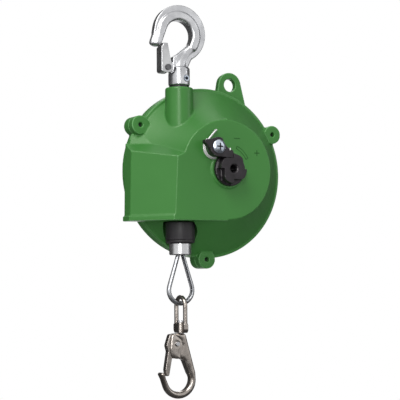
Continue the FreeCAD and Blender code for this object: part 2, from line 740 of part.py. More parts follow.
def make_pawl():
    start, steps = pawl_points()
    body = slab_y(start, steps, PAWL_FRONT, PAWL_FRONT + PAWL_T)
    px, pz = DRUM_X + PAWL_X, DRUM_Z + PAWL_Z
    body = body.cut(rod_y(4.0 + FIT, PAWL_FRONT - 1, PAWL_FRONT + PAWL_T + 1, px, pz))
    return body


def make_pawl_collar():
    """Shouldered sleeve under the screw head; the pawl turns on it."""
    px, pz = DRUM_X + PAWL_X, DRUM_Z + PAWL_Z
    end = FACE_Y - 1.0
    body = fuse(
        rod_y(4.0, PAWL_FRONT - 0.2, end, px, pz),
        rod_y(5.0, PAWL_FRONT + PAWL_T + 0.2, end, px, pz),
    )
    return body.cut(rod_y(3.05, PAWL_FRONT - 2, end + 1, px, pz))


def make_pawl_screw():
    """Raised countersunk screw that holds the pawl."""
    px, pz = DRUM_X + PAWL_X, DRUM_Z + PAWL_Z
    back = PAWL_FRONT - 0.2
    shank = rod_y(3.0, back, FACE_Y - 1.0, px, pz)
    thread = rod_y(TAP_D / 2 + 0.4, FACE_Y - 1.5, FACE_Y + WALL - 0.5, px, pz)
    profile = closed_face(
        lambda a, b: V(px + a, b, pz),
        (0, back),
        [(5.8, back), (5.8, back - 0.7), ((3.2, back - 2.0), (0, back - 2.4))],
    )
    head = profile.revolve(V(px, 0, pz), V(0, 1, 0), 360)
    cross = [
        block(px - 3.0, px + 3.0, back - 3, back - 0.9, pz - 0.65, pz + 0.65),
        block(px - 0.65, px + 0.65, back - 3, back - 0.9, pz - 3.0, pz + 3.0),
    ]
    return fuse(head, shank, thread).cut(cross[0]).cut(cross[1])


def make_pawl_spring():
    """Torsion spring behind the pawl: a leg in the case, one coil, a leg hooked over the nose."""
    px, pz = DRUM_X + PAWL_X, DRUM_Z + PAWL_Z
    y = FACE_Y - 1.0 - COIL_D / 2 - 0.35
    ax, az = spring_anchor()
    begin = polar(COIL_R, 125, px, pz)
    low = polar(COIL_R, 215, px, pz)
    end = polar(COIL_R, 283, px, pz)
    place = on_y(y)
    out = (ax - 1.5, az - 1.2)
    edges = [
        Part.LineSegment(place(*out), place(*begin)).toShape(),
        Part.Arc(place(*begin), place(*low), place(*end)).toShape(),
    ]
    coil = pipe(edges, COIL_D / 2)
    elbow = Part.makeSphere(COIL_D / 2, place(*out))
    bridge = pipe([Part.LineSegment(place(*out), place(ax, az)).toShape()], COIL_D / 2)
    tail = rod_y(COIL_D / 2, y, FACE_Y + WALL - 1.5, ax, az)
    knee = Part.makeSphere(COIL_D / 2, place(ax, az))
    return fuse(coil, elbow, bridge, knee, tail)


# ---------------------------------------------------------------- shaft, bushes, drum, spring
CLIP_Y = FRONT_HUB_Y + CLEAR
CLIP_BORE_R = SHAFT_D / 2 - 0.75


def make_main_shaft():
    body = rod_y(SHAFT_D / 2, FACE_Y - 0.2, BACK_Y - WALL - 0.2)
    body = fuse(body, tang())
    body = body.cut(hexagon(KEY_AF, WHEEL_FACE, FACE_Y - 1))
    groove = rod_y(SHAFT_D, CLIP_Y - 0.1, CLIP_Y + CLIP_T + 0.1)
    groove = groove.cut(rod_y(CLIP_BORE_R - FIT, CLIP_Y - 1, CLIP_Y + CLIP_T + 1))
    slot = block(DRUM_X - 0.6, DRUM_X + 0.6, SPRING_Y + 1, SPRING_Y + SPRING_W - 1,
                 DRUM_Z, DRUM_Z + SHAFT_D)
    return body.cut(groove).cut(slot).cut(wheel_pin(FIT))


def make_shaft_clip():
    """Retaining ring that holds the shaft in the front case."""
    ring = rod_y(SHAFT_D / 2 + 2.4, CLIP_Y, CLIP_Y + CLIP_T)
    ring = ring.cut(rod_y(CLIP_BORE_R, CLIP_Y - 1, CLIP_Y + 2))
    return ring.cut(block(DRUM_X - 3, DRUM_X + 3, CLIP_Y - 1, CLIP_Y + 2, DRUM_Z - 20, DRUM_Z))


def make_front_bush():
    ring = rod_y(SHAFT_D / 2 + BUSH_T, FACE_Y + 0.2, FRONT_HUB_Y)
    return ring.cut(rod_y(SHAFT_D / 2 + FIT, FACE_Y - 1, FRONT_HUB_Y + 1))


def make_rear_bush():
    ring = rod_y(SHAFT_D / 2 + BUSH_T, REAR_HUB_Y, BACK_Y - WALL)
    return ring.cut(rod_y(SHAFT_D / 2 + FIT, REAR_HUB_Y - 1, BACK_Y))


# The first turn lies in the plane Y = 0 with its centre on the hang line.
CONE_R = DRUM_X - ROPE_D / 2 + DRUM_FRONT * DRUM_TAPER / DRUM_GROOVE
CONE_BACK = DRUM_FRONT + DRUM_GROOVE
HUB_FRONT = CLIP_Y + CLIP_T + CLEAR
HUB_R = SHAFT_D / 2 + BUSH_T + 3.0
CHAMBER_R = SPRING_R + 0.8


def make_rope_drum():
    """Tapered drum, open at the back for the mainspring, open and ribbed at the front."""
    top_r = CONE_R + DRUM_TAPER
    flange_r = top_r + ROPE_D + FLANGE_OVER
    front = DRUM_FRONT - FLANGE_T
    web = SPRING_Y - 0.4 - DRUM_WALL
    body = turned_drum(
        (SHAFT_D / 2 + BUSH_T, HUB_FRONT),
        (HUB_R, HUB_FRONT),
        (HUB_R, web),
        (CONE_R - DRUM_WALL, web),
        (CONE_R - DRUM_WALL, front),
        (CONE_R + ROPE_D + 3, front),
        (CONE_R + ROPE_D + 3, DRUM_FRONT),
        (CONE_R, DRUM_FRONT),
        (top_r, CONE_BACK),
        (flange_r, CONE_BACK),
        (flange_r, CONE_BACK + FLANGE_T),
        (CHAMBER_R + DRUM_WALL, CONE_BACK + FLANGE_T),
        (CHAMBER_R + DRUM_WALL, DRUM_BACK),
        (CHAMBER_R, DRUM_BACK),
        (CHAMBER_R, web + DRUM_WALL),
        (SHAFT_D / 2 + BUSH_T, web + DRUM_WALL),
    )
    ribs = []
    for k in range(6):
        rib = block(DRUM_X + HUB_R - 1, DRUM_X + CONE_R - DRUM_WALL + 0.5, DRUM_FRONT, web + 0.5,
                    DRUM_Z - RIB_T / 2, DRUM_Z + RIB_T / 2)
        rib.rotate(V(DRUM_X, 0, DRUM_Z), V(0, 1, 0), 60 * k)
        ribs.append(rib)
    return fuse(body, *ribs)


def make_drum_bush():
    back = SPRING_Y - 0.4
    ring = rod_y(SHAFT_D / 2 + BUSH_T, HUB_FRONT, back)
    return ring.cut(rod_y(SHAFT_D / 2 + FIT, HUB_FRONT - 1, back + 1))


def make_mainspring():
    """Flat spiral strip: half turns about two centres, so that the radius grows steadily."""
    inner = SHAFT_D / 2 + CLEAR + SPRING_T
    pitch = (SPRING_R - inner) / SPRING_TURNS
    place = on_y(SPRING_Y)
    strips = []
    for side in (0.0, -SPRING_T):
        edges = []
        for k in range(2 * SPRING_TURNS):
            sign = 1 if k % 2 == 0 else -1
            r = inner + pitch * k / 2 + side
            x = DRUM_X + (0.0 if k % 2 == 0 else pitch / 2)
            first = place(x + sign * r, DRUM_Z)
            middle = place(x, DRUM_Z + sign * r)
            last = place(x - sign * r, DRUM_Z)
            edges.append(Part.Arc(first, middle, last).toShape())
        strips.append(edges)
    outer_side, inner_side = strips
    inner_side = list(reversed(inner_side))
    begin_cap = Part.LineSegment(inner_end(inner_side[-1], True), inner_end(outer_side[0], True))
    end_cap = Part.LineSegment(inner_end(outer_side[-1], False), inner_end(inner_side[0], False))
    edges = outer_side + [end_cap.toShape()] + inner_side + [begin_cap.toShape()]
    return Part.Face(Part.Wire(Part.__sortEdges__(edges))).extrude(V(0, SPRING_W, 0))


def inner_end(edge, first):
    return edge.valueAt(edge.FirstParameter if first else edge.LastParameter)


def make_spring_cover():
    """Pressed disc that closes the spring chamber."""
    disc = rod_y(CHAMBER_R + DRUM_WALL, DRUM_BACK, DRUM_BACK + LID_T)
    return disc.cut(rod_y(SHAFT_D / 2 + RUN, DRUM_BACK - 1, DRUM_BACK + 3))


def make_spring_cover_screws():
    back = DRUM_BACK + LID_T
    screws = []
    for k in range(4):
        x, z = polar(CHAMBER_R + DRUM_WALL / 2, 45 + 90 * k, DRUM_X, DRUM_Z)
        screws.append(rod_y(1.5, back, back + 1.0, x, z))
    return Part.makeCompound(screws)


def make_wound_rope():
    """Rope turns lying on the cone."""
    under = 0.2
    return turned_drum(
        (CONE_R + under, DRUM_FRONT + 0.1),
        (CONE_R + ROPE_D, DRUM_FRONT + 0.1),
        (CONE_R + DRUM_TAPER + ROPE_D, CONE_BACK - 0.1),
        (CONE_R + DRUM_TAPER + under, CONE_BACK - 0.1),
    )


# ---------------------------------------------------------------- rope end
BUMPER_TOP = BOX_FLOOR - CLEAR
CAP_TOP = BUMPER_TOP - BUMPER_H
CAP_FLOOR = CAP_TOP - CAP_H
FERRULE_FLOOR = CAP_FLOOR + CAP_WALL
FERRULE_TOP = FERRULE_FLOOR + FERRULE_H
GUIDE_TOP = BOX_FLOOR + WALL + 5.0
ROPE_SPLIT = GUIDE_TOP - 4.5         # where the pulled length of rope begins
ROPE_LEAVE = 16.0                    # the rope is clear of the wound turns this far below the axis


def make_rope_guide():
    """Flanged bush in the box floor with a flared mouth for the rope."""
    bore = ROPE_D / 2 + 0.4
    return turned_hang(
        (bore, BOX_FLOOR + 0.4),
        (GUIDE_R, BOX_FLOOR + 0.4),
        (GUIDE_R, BOX_FLOOR + WALL),
        (GUIDE_R + 2.5, BOX_FLOOR + WALL),
        (GUIDE_R + 2.5, BOX_FLOOR + WALL + 2.0),
        (GUIDE_R, GUIDE_TOP),
        (bore + 3.0, GUIDE_TOP),
        ((bore + 0.8, GUIDE_TOP - 2.0), (bore, BOX_FLOOR + WALL)),
    )


def make_rope_inside():
    """Rope from the drum's first turn down to the guide."""
    return rod_z(ROPE_D / 2, ROPE_SPLIT, DRUM_Z - ROPE_LEAVE)


def middle_of_bend(begin, knee, end):
    """Middle of the arc that rounds the corner at knee, tangent at begin and end."""
    half = (begin - end).Length / 2
    leg = (begin - knee).Length
    chord_mid = (begin + end) * 0.5
    to_knee = (knee - chord_mid).Length
    radius = half * leg / to_knee
    sag = radius - math.sqrt(radius * radius - half * half)
    return chord_mid + (knee - chord_mid).normalize() * sag


def make_rope_lead():
    """Straight rope between the guide and the ferrule: the stretch that is pulled out."""
    return rod_z(ROPE_D / 2, FERRULE_TOP, ROPE_SPLIT)


def make_bumper():
    bore = ROPE_D / 2 + 0.5
    seat = FERRULE_R + 0.4
    return turned_hang(
        (bore, BUMPER_TOP),
        (BUMPER_R - 1.6, BUMPER_TOP),
        (polar(1.6, 45, BUMPER_R - 1.6, BUMPER_TOP - 1.6), (BUMPER_R, BUMPER_TOP - 1.6)),
        (BUMPER_R, CAP_TOP + 1.6),
        (polar(1.6, -45, BUMPER_R - 1.6, CAP_TOP + 1.6), (BUMPER_R - 1.6, CAP_TOP)),
        (seat, CAP_TOP),
        (seat, FERRULE_TOP + 0.6),
        (bore, FERRULE_TOP + 0.6),
    )


def make_rope_end_cap():
    seat = FERRULE_R + 0.15
    leg = 4.4
    return turned_hang(
        (seat, CAP_TOP),
        (CAP_R - 0.5, CAP_TOP),
        (CAP_R, CAP_TOP - 0.5),
        (CAP_R, CAP_FLOOR + 0.8),
        (CAP_R - 0.8, CAP_FLOOR),
        (leg, CAP_FLOOR),
        (leg, FERRULE_FLOOR),
        (seat, FERRULE_FLOOR),
    )


def make_rope_ferrule():
    """Crimped sleeve that joins the rope to its eye."""
    body = rod_z(FERRULE_R, FERRULE_FLOOR, FERRULE_TOP)
    return rounded(body, 0.8, lambda e: e.BoundBox.ZLength < 0.01)


LEG_X = 1.65
EYE_Z = CAP_FLOOR - EYE_DROP


def eye_edges(r, leg_x, top):
    """Teardrop path of radius r round the thimble centre, its legs meeting near the cap."""
    neck_z = CAP_FLOOR + 0.8
    far = math.hypot(leg_x, neck_z - EYE_Z)
    lean = math.asin(leg_x / far)
    turn = math.acos(r / far)
    a = math.pi / 2 - lean - turn
    touch = (r * math.cos(a), EYE_Z + r * math.sin(a))
    direction = V(touch[0] - leg_x, 0, touch[1] - neck_z).normalize()
    bend = 3.0
    corner = V(leg_x, 0, neck_z)
    upper = corner + V(0, 0, bend)
    lower = corner + direction * bend
    middle = middle_of_bend(upper, corner, lower)
    place = on_y(0)

    def mirror(p):
        return V(-p.x, p.y, p.z)

    right = place(*touch)
    edges = [
        Part.Arc(upper, middle, lower).toShape(),
        Part.LineSegment(lower, right).toShape(),
        Part.Arc(right, V(0, 0, EYE_Z - r), mirror(right)).toShape(),
        Part.LineSegment(mirror(right), mirror(lower)).toShape(),
        Part.Arc(mirror(lower), mirror(middle), mirror(upper)).toShape(),
    ]
    if top > upper.z:
        edges.insert(0, Part.LineSegment(V(leg_x, 0, top), upper).toShape())
        edges.append(Part.LineSegment(mirror(upper), V(-leg_x, 0, top)).toShape())
    return edges


def make_rope_eye():
    """Rope laid round the thimble, both legs ending at the ferrule's foot."""
    edges = eye_edges(EYE_R, LEG_X, CAP_FLOOR + 3.8)
    body = pipe(edges, ROPE_D / 2)
    return body.cut(rod_z(8, FERRULE_FLOOR, FERRULE_TOP))


def teardrop(r, tip):
    """Closed drop shape: a round end of radius r, sides tangent to it, meeting at height tip."""
    far = tip - EYE_Z
    a = math.pi / 2 - math.acos(r / far)
    right = (r * math.cos(a), EYE_Z + r * math.sin(a))
    left = (-right[0], right[1])
    return right, [((0, EYE_Z - r), left), (0, tip)]


def make_thimble():
    """Grooved steel thimble: the rope lies in its outer groove."""
    outer_r = EYE_R - 0.1
    inner_r = EYE_R - THIMBLE_T
    outer = slab_y(*teardrop(outer_r, EYE_Z + EYE_DROP - 4.5), -THIMBLE_W / 2, THIMBLE_W / 2)
    inner = slab_y(*teardrop(inner_r, EYE_Z + EYE_DROP - 11.5), -THIMBLE_W, THIMBLE_W)
    body = outer.cut(inner)
    body = rounded(body, 1.0, lambda e: abs(abs(e.BoundBox.YMin) - THIMBLE_W / 2) < 0.01
                   and e.BoundBox.YLength < 0.01 and e.BoundBox.XLength < 2 * inner_r + 0.5)
    groove = pipe(eye_edges(EYE_R, LEG_X, CAP_FLOOR + 3.8), ROPE_D / 2 + FIT)
    body = body.cut(groove)
    body = body.cut(block(-20, 20, -10, 10, CAP_FLOOR - 6.0, CAP_FLOOR + 20))
    return max(body.Solids, key=lambda s: s.Volume)


# ---------------------------------------------------------------- bail and snap hook
BAIL_TOP = EYE_Z - (EYE_R - THIMBLE_T) + CLEAR + BAIL_WIRE
BAIL_FLOOR = BAIL_TOP - BAIL_H
SNAP_TOP = BAIL_FLOOR - CLEAR


def make_swivel_bail():
    """Round-bar bail with a flat base that carries the swivel rivet."""
    wire = BAIL_WIRE / 2
    r = BAIL_W / 2 - wire
    centre_z = BAIL_TOP - wire - r
    low = BAIL_FLOOR + BAIL_BASE_H / 2
    place = on_x(0)
    edges = [
        Part.LineSegment(place(-r, low), place(-r, centre_z)).toShape(),
        Part.Arc(place(-r, centre_z), place(0, centre_z + r), place(r, centre_z)).toShape(),
        Part.LineSegment(place(r, centre_z), place(r, low)).toShape(),
    ]
    hoop = pipe(edges, wire)
    half = BAIL_W / 2
    base = slab_x(
        (-half + 3.4, BAIL_FLOOR),
        [
            (half - 3.4, BAIL_FLOOR),
            ((half - 0.9, BAIL_FLOOR + 1.1), (half, BAIL_FLOOR + 3.6)),
            (half, BAIL_FLOOR + BAIL_BASE_H - 1.5),
            (half - BAIL_WIRE, BAIL_FLOOR + BAIL_BASE_H + 0.6),
            (half - BAIL_WIRE - 1.5, BAIL_FLOOR + BAIL_BASE_H),
            (-half + BAIL_WIRE + 1.5, BAIL_FLOOR + BAIL_BASE_H),
            (-half + BAIL_WIRE, BAIL_FLOOR + BAIL_BASE_H + 0.6),
            (-half, BAIL_FLOOR + BAIL_BASE_H - 1.5),
            (-half, BAIL_FLOOR + 3.6),
            ((-half + 0.9, BAIL_FLOOR + 1.1), (-half + 3.4, BAIL_FLOOR)),
        ],
        -BAIL_BASE_W / 2,
        BAIL_BASE_W / 2,
    )
    trim = rod_z(BAIL_W / 2 + 0.3, BAIL_FLOOR - 1, BAIL_TOP)
    body = fuse(hoop, base.common(trim))
    return body.cut(rod_z(SWIVEL_D / 2 + FIT, BAIL_FLOOR - 1, BAIL_FLOOR + BAIL_BASE_H + 2))


def snap_circles():
    """Snap hook's body: bowl's outside, head, cheek round the gate rivet, throat, bowl, point."""
    top = SNAP_TOP
    return [
        (-2.6, top - 39.9, SNAP_R),
        (0.1, top - 3.2, 3.2),
        (-6.4, top - 5.0, 5.0),
        (-6.6, top - 12.4, 5.4),
        (-6.2, top - 16.4, 5.2),
        (-2.0, top - 25.8, -4.0),
        (-3.5, top - 39.0, -SNAP_BOWL_R),
        (-18.9, top - 34.6, 1.9),
    ]


def make_snap_hook():
    body = smooth_slab(snap_circles(), -SNAP_T / 2, SNAP_T / 2, SNAP_BEVEL)
    body = body.cut(gate_sweep())
    body = body.cut(rod_y(GATE_PIN_D / 2 + FIT, -SNAP_T, SNAP_T, GATE_PIVOT_X, GATE_PIVOT_Z))
    return body.cut(rod_z(SWIVEL_D / 2 + FIT, SNAP_TOP - RIVET_DEPTH - 0.2, SNAP_TOP + 1))


def gate_sweep():
    """Slot in the body where the gate stands and swings: its outline at each step of the swing."""
    half = GATE_W / 2 + RUN
    pivot = V(GATE_PIVOT_X, 0, GATE_PIVOT_Z)
    places = []
    for step in range(GATE_STEPS + 1):
        place = smooth_slab(gate_circles(), -half, half, 0, GATE_CLEAR)
        place.rotate(pivot, V(0, -1, 0), GATE_SWING * step / GATE_STEPS)
        places.append(place)
    return fuse(*places)


def make_swivel_rivet():
    """Rivet that ties the snap hook to the bail and lets it turn."""
    under = BAIL_FLOOR + BAIL_BASE_H + CLEAR
    shank = rod_z(SWIVEL_D / 2, SNAP_TOP - RIVET_DEPTH, under)
    head = rod_z(SWIVEL_D / 2 + 1.1, under, under + 1.7)
    return rounded(fuse(shank, head), 0.7, lambda e: e.BoundBox.ZMin > under + 1.5)


def gate_circles():
    """Gate: pivot end, thumb bulge, long arm down to the hook's point."""
    px, pz = GATE_PIVOT_X, GATE_PIVOT_Z
    return [
        (px + 1.2, pz - 2.0, 2.4),
        (px + 1.2, pz + 1.6, 2.4),
        (px - 4.6, pz + 6.0, 2.4),
        (px - 5.6, pz - 1.4, 3.8),
        (px - 11.2, pz - 6.6, -3.0),
        (px - 4.6, pz - 21.6, 6.0),
        (px - 8.4, pz - 25.6, 1.5),
        (px - 6.8, pz - 25.4, 1.5),
        (px + 1.2, pz - 11.0, -4.0),
    ]


def make_snap_gate():
    """Folded sheet gate inside the hook's slot, open on the side of the bowl."""
    body = smooth_slab(gate_circles(), -GATE_W / 2, GATE_W / 2, 0.6)
    half = GATE_W / 2 - GATE_T
    room = smooth_slab(gate_circles(), -half, half, 0, -GATE_T)
    for step in range(4):
        body = body.cut(room.translated(V(1.2 * step, 0, -0.2 * step)))
    body = body.cut(rod_y(GATE_PIN_D / 2 + FIT, -9, 9, GATE_PIVOT_X, GATE_PIVOT_Z))
    return max(body.Solids, key=lambda s: s.Volume)


def make_gate_spring():
    """Torsion spring on the gate rivet inside the channel: three coils and two legs."""
    wire = 0.4
    px, pz = GATE_PIVOT_X, GATE_PIVOT_Z
    low = GATE_PIN_D / 2 + 0.15
    coils = []
    for k in (1, 0, -1):
        y = 1.8 * wire * k
        coils.append(((low + 2 * wire, y), (low + wire, y - 0.9 * wire)))
    start = (low, 2.7 * wire)
    steps = [(low + wire, 2.7 * wire)] + coils + [(low, -2.7 * wire)]
    face = closed_face(lambda a, b: V(px + a, b, pz), start, steps)
    pack = face.revolve(V(px, 0, pz), V(0, 1, 0), 360)
    r = low + wire
    thin = wire - 0.05
    leg = pipe([Part.LineSegment(V(px - r, 0, pz), V(px - 6.0, 0, pz - 12)).toShape()], thin)
    foot = pipe([Part.LineSegment(V(px + r, 0, pz), V(px + 3.1, 0, pz - 3.2)).toShape()], thin)
    return fuse(pack, leg, foot)


def make_gate_rivet():
    px, pz = GATE_PIVOT_X, GATE_PIVOT_Z
    half = SNAP_T / 2
    pin = rod_y(GATE_PIN_D / 2, -half, half, px, pz)
    heads = []
    for side in (-1, 1):
        ball = Part.makeSphere(RIVET_D / 2, V(px, side * half, pz))
        heads.append(ball.common(block(px - 9, px + 9, min(side * half, side * (half + 1.2)),
                                       max(side * half, side * (half + 1.2)), pz - 9, pz + 9)))
    return fuse(pin, *heads)


# ---------------------------------------------------------------- build
NODES = {
    "front_case": make_front_case,
    "back_cover": make_back_cover,
    "case_screws": make_case_screws,
    "rope_guide": make_rope_guide,
    "front_bush": make_front_bush,
    "rear_bush": make_rear_bush,
    "neck_washer": make_neck_washer,
    "pawl_collar": make_pawl_collar,
    "pawl_screw": make_pawl_screw,
    "pawl_spring": make_pawl_spring,
    "rope_inside": make_rope_inside,
    "upper_hook": make_upper_hook,
    "hook_stem": make_hook_stem,
    "hook_roll_pin": make_hook_roll_pin,
    "latch_pin": make_latch_pin,
    "latch_spring": make_latch_spring,
    "upper_latch": make_upper_latch,
    "ratchet_wheel": make_ratchet_wheel,
    "wheel_pin": wheel_pin,
    "main_shaft": make_main_shaft,
    "shaft_clip": make_shaft_clip,
    "pawl": make_pawl,
    "rope_drum": make_rope_drum,
    "drum_bush": make_drum_bush,
    "mainspring": make_mainspring,
    "spring_cover": make_spring_cover,
    "spring_cover_screws": make_spring_cover_screws,
    "wound_rope": make_wound_rope,
    "rope_lead": make_rope_lead,
    "bumper": make_bumper,
    "rope_end_cap": make_rope_end_cap,
    "rope_ferrule": make_rope_ferrule,
    "rope_eye": make_rope_eye,
    "thimble": make_thimble,
    "swivel_bail": make_swivel_bail,
    "swivel_rivet": make_swivel_rivet,
    "snap_hook": make_snap_hook,
    "gate_rivet": make_gate_rivet,
    "snap_gate": make_snap_gate,
    "gate_spring": make_gate_spring,
}

os.makedirs("parts", exist_ok=True)
for node, make in NODES.items():
    save(node, make())
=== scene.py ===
"""Spring tool balancer: green cast housing, bright swivel hook, black ratchet, rope eye and snap hook."""
import math

import bmesh
import bpy
from mathutils import Matrix, Vector, kdtree


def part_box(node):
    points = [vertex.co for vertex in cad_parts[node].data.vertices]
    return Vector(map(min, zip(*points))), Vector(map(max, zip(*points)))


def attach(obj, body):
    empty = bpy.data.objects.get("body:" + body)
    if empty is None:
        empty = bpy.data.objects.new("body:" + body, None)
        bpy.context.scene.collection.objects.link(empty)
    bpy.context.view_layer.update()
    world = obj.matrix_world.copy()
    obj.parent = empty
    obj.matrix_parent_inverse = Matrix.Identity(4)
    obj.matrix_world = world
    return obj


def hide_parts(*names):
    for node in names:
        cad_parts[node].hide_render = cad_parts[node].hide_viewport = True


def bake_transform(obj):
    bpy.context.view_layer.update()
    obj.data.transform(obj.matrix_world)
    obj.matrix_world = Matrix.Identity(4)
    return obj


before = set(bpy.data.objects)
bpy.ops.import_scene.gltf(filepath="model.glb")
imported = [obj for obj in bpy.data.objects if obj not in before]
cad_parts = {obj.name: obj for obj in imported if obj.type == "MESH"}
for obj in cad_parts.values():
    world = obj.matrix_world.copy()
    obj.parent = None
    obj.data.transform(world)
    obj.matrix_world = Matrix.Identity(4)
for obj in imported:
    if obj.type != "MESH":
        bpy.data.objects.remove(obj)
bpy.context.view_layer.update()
MM = 0.001

# ---------------------------------------------------------------- room, lamps and camera
# A pale round floor lies far below, clear of the pulled-out rope. Soft lamps stand above and beside.
# Dark cards stand at the sides, out of view, so that polished metal has something to mirror.
FLOOR_Z = -1.75
FLOOR_R = 3.4
FLOOR_GLOW = 0.62
FLOOR_BOUNCE = 0.3
CAMERA_AT = (-0.5109, -0.9989, -0.2253)
CAMERA_YAW = 27.97
CAMERA_PITCH = 3.555
CAMERA_ROLL = -0.48
CAMERA_LENS = 117.6


def seen_white(tree, lit, out):
    """Joins a white shader for camera, mirror and glass rays and a lit one for the rest."""
    path = tree.nodes.new("ShaderNodeLightPath")
    seen = tree.nodes.new("ShaderNodeMath")
    seen.operation = "MAXIMUM"
    either = tree.nodes.new("ShaderNodeMath")
    either.operation = "MAXIMUM"
    tree.links.new(path.outputs["Is Camera Ray"], either.inputs[0])
    tree.links.new(path.outputs["Is Glossy Ray"], either.inputs[1])
    tree.links.new(either.outputs[0], seen.inputs[0])
    tree.links.new(path.outputs["Is Transmission Ray"], seen.inputs[1])
    mix = tree.nodes.new("ShaderNodeMixShader")
    white = tree.nodes.new("ShaderNodeBackground" if out == "World" else "ShaderNodeEmission")
    white.inputs["Color"].default_value = (1, 1, 1, 1)
    tree.links.new(seen.outputs[0], mix.inputs["Fac"])
    tree.links.new(lit.outputs[0], mix.inputs[1])
    tree.links.new(white.outputs[0], mix.inputs[2])
    return mix


world = bpy.data.worlds.new("studio")
bpy.context.scene.world = world
world.use_nodes = True
sky = world.node_tree
sky_lit = sky.nodes["Background"]
sky_lit.inputs["Color"].default_value = (0.93, 0.96, 1.0, 1)
sky_lit.inputs["Strength"].default_value = 0.3
sky.links.new(seen_white(sky, sky_lit, "World").outputs[0], sky.nodes["World Output"].inputs["Surface"])

floor_mesh = bpy.data.meshes.new("floor")
ring = bmesh.new()
bmesh.ops.create_circle(ring, cap_ends=True, radius=FLOOR_R, segments=96)
ring.to_mesh(floor_mesh)
ring.free()
floor = bpy.data.objects.new("floor", floor_mesh)
floor.location = (0, 0, FLOOR_Z)
bpy.context.scene.collection.objects.link(floor)
floor_paper = bpy.data.materials.new("floor_paper")
floor_paper.use_nodes = True
paper = floor_paper.node_tree.nodes["Principled BSDF"]
paper.inputs["Base Color"].default_value = (0.5, 0.5, 0.5, 1)
paper.inputs["Roughness"].default_value = 0.9
paper.inputs["Emission Color"].default_value = (1, 1, 1, 1)
glow = floor_paper.node_tree.nodes.new("ShaderNodeMath")
glow.operation = "MULTIPLY_ADD"
glow.inputs[1].default_value = FLOOR_GLOW
glow.inputs[2].default_value = FLOOR_BOUNCE
floor_paper.node_tree.links.new(
    floor_paper.node_tree.nodes.new("ShaderNodeLightPath").outputs["Is Camera Ray"], glow.inputs[0]
)
floor_paper.node_tree.links.new(glow.outputs[0], paper.inputs["Emission Strength"])
floor_mesh.materials.append(floor_paper)


def card(name, at, size, aim):
    """A dark card that only mirrors see."""
    mesh = bpy.data.meshes.new(name)
    sheet = bmesh.new()
    bmesh.ops.create_grid(sheet, x_segments=1, y_segments=1, size=0.5)
    bmesh.ops.scale(sheet, vec=(size[0], size[1], 1), verts=sheet.verts)
    sheet.to_mesh(mesh)
    sheet.free()
    piece = bpy.data.objects.new(name, mesh)
    piece.location = at
    piece.rotation_mode = "QUATERNION"
    piece.rotation_quaternion = (Vector(aim) - Vector(at)).to_track_quat("Z", "Y")
    felt = bpy.data.materials.new(name + "_felt")
    felt.use_nodes = True
    felt.node_tree.nodes["Principled BSDF"].inputs["Base Color"].default_value = (0.09, 0.09, 0.09, 1)
    mesh.materials.append(felt)
    piece.visible_camera = False
    piece.visible_diffuse = False
    piece.visible_shadow = False
    bpy.context.scene.collection.objects.link(piece)


HANG_MIDDLE = (0.02, 0, -0.15)
card("card_right", (1.06, 0.29, 0.05), (1.8, 2.5), HANG_MIDDLE)
card("card_left", (-0.53, 0.95, 0.05), (2.8, 2.5), HANG_MIDDLE)
card("card_front", (-0.2, -1.45, -0.1), (0.2, 1.5), HANG_MIDDLE)
card("card_under", (0.0, -0.1, -0.58), (1.8, 1.8), HANG_MIDDLE)


def soft_lamp(name, at, watts, size, tint):
    """A rectangular lamp turned to the middle of the hanging part."""
    lamp = bpy.data.lights.new(name, "AREA")
    lamp.shape = "RECTANGLE"
    lamp.size, lamp.size_y = size
    lamp.energy = watts
    lamp.color = tint
    holder = bpy.data.objects.new(name, lamp)
    holder.location = at
    holder.rotation_mode = "QUATERNION"
    holder.rotation_quaternion = (Vector(HANG_MIDDLE) - Vector(at)).to_track_quat("-Z", "Y")
    bpy.context.scene.collection.objects.link(holder)


soft_lamp("key_lamp", (-0.85, -0.75, 1.05), 17, (0.9, 0.9), (1.0, 0.985, 0.96))
soft_lamp("side_lamp", (1.35, -0.6, 0.45), 3, (0.5, 1.1), (0.97, 0.98, 1.0))
soft_lamp("front_lamp", (-0.72, -1.3, 0.12), 7.0, (0.26, 0.75), (1, 1, 1))
soft_lamp("rim_lamp", (0.5, 1.2, 0.7), 4, (0.9, 0.7), (1, 1, 1))

camera = bpy.data.cameras.new("camera")
camera.lens = CAMERA_LENS
camera.sensor_width = 36
holder = bpy.data.objects.new("camera", camera)
yaw, pitch, roll = (math.radians(a) for a in (CAMERA_YAW, CAMERA_PITCH, CAMERA_ROLL))
ahead = Vector((math.sin(yaw) * math.cos(pitch), math.cos(yaw) * math.cos(pitch), math.sin(pitch)))
level = Vector((math.cos(yaw), -math.sin(yaw), 0))
upright = level.cross(ahead)
right = level * math.cos(roll) + upright * math.sin(roll)
above = right.cross(ahead)
turn = Matrix((right, above, -ahead)).transposed()
holder.matrix_world = Matrix.Translation(CAMERA_AT) @ turn.to_4x4()
bpy.context.scene.collection.objects.link(holder)
bpy.context.scene.camera = holder
bpy.context.scene.view_settings.view_transform = "Standard"

# ---------------------------------------------------------------- housing: front half and back cover
# Two die-cast alloy halves under a gloss green stove enamel. Casting leaves every edge with a small radius,
# and the enamel has a faint orange peel. Along convex edges its green is painted paler: partly thin enamel,
# partly painted highlight.
CASTING_GRID = 0.55 * MM
NECK_R = 12.15 * MM
NECK_FOOT = -90 * MM
NECK_SHOULDER = -60.2 * MM
PAINT = (0.043, 0.19, 0.036, 1)
# Paler green on convex edges: thin enamel there, and painted highlight.
PAINT_THIN_AND_SHEEN = (0.12, 0.34, 0.11, 1)


def group_of(name, inputs, outputs):
    """An empty node group with value inputs (name, default) and float outputs."""
    tree = bpy.data.node_groups.new(name, "ShaderNodeTree")
    for label, default in inputs:
        socket = tree.interface.new_socket(label, in_out="INPUT", socket_type="NodeSocketFloat")
        socket.default_value = default
    for label in outputs:
        tree.interface.new_socket(label, in_out="OUTPUT", socket_type="NodeSocketFloat")
    return tree, tree.nodes.new("NodeGroupInput"), tree.nodes.new("NodeGroupOutput")


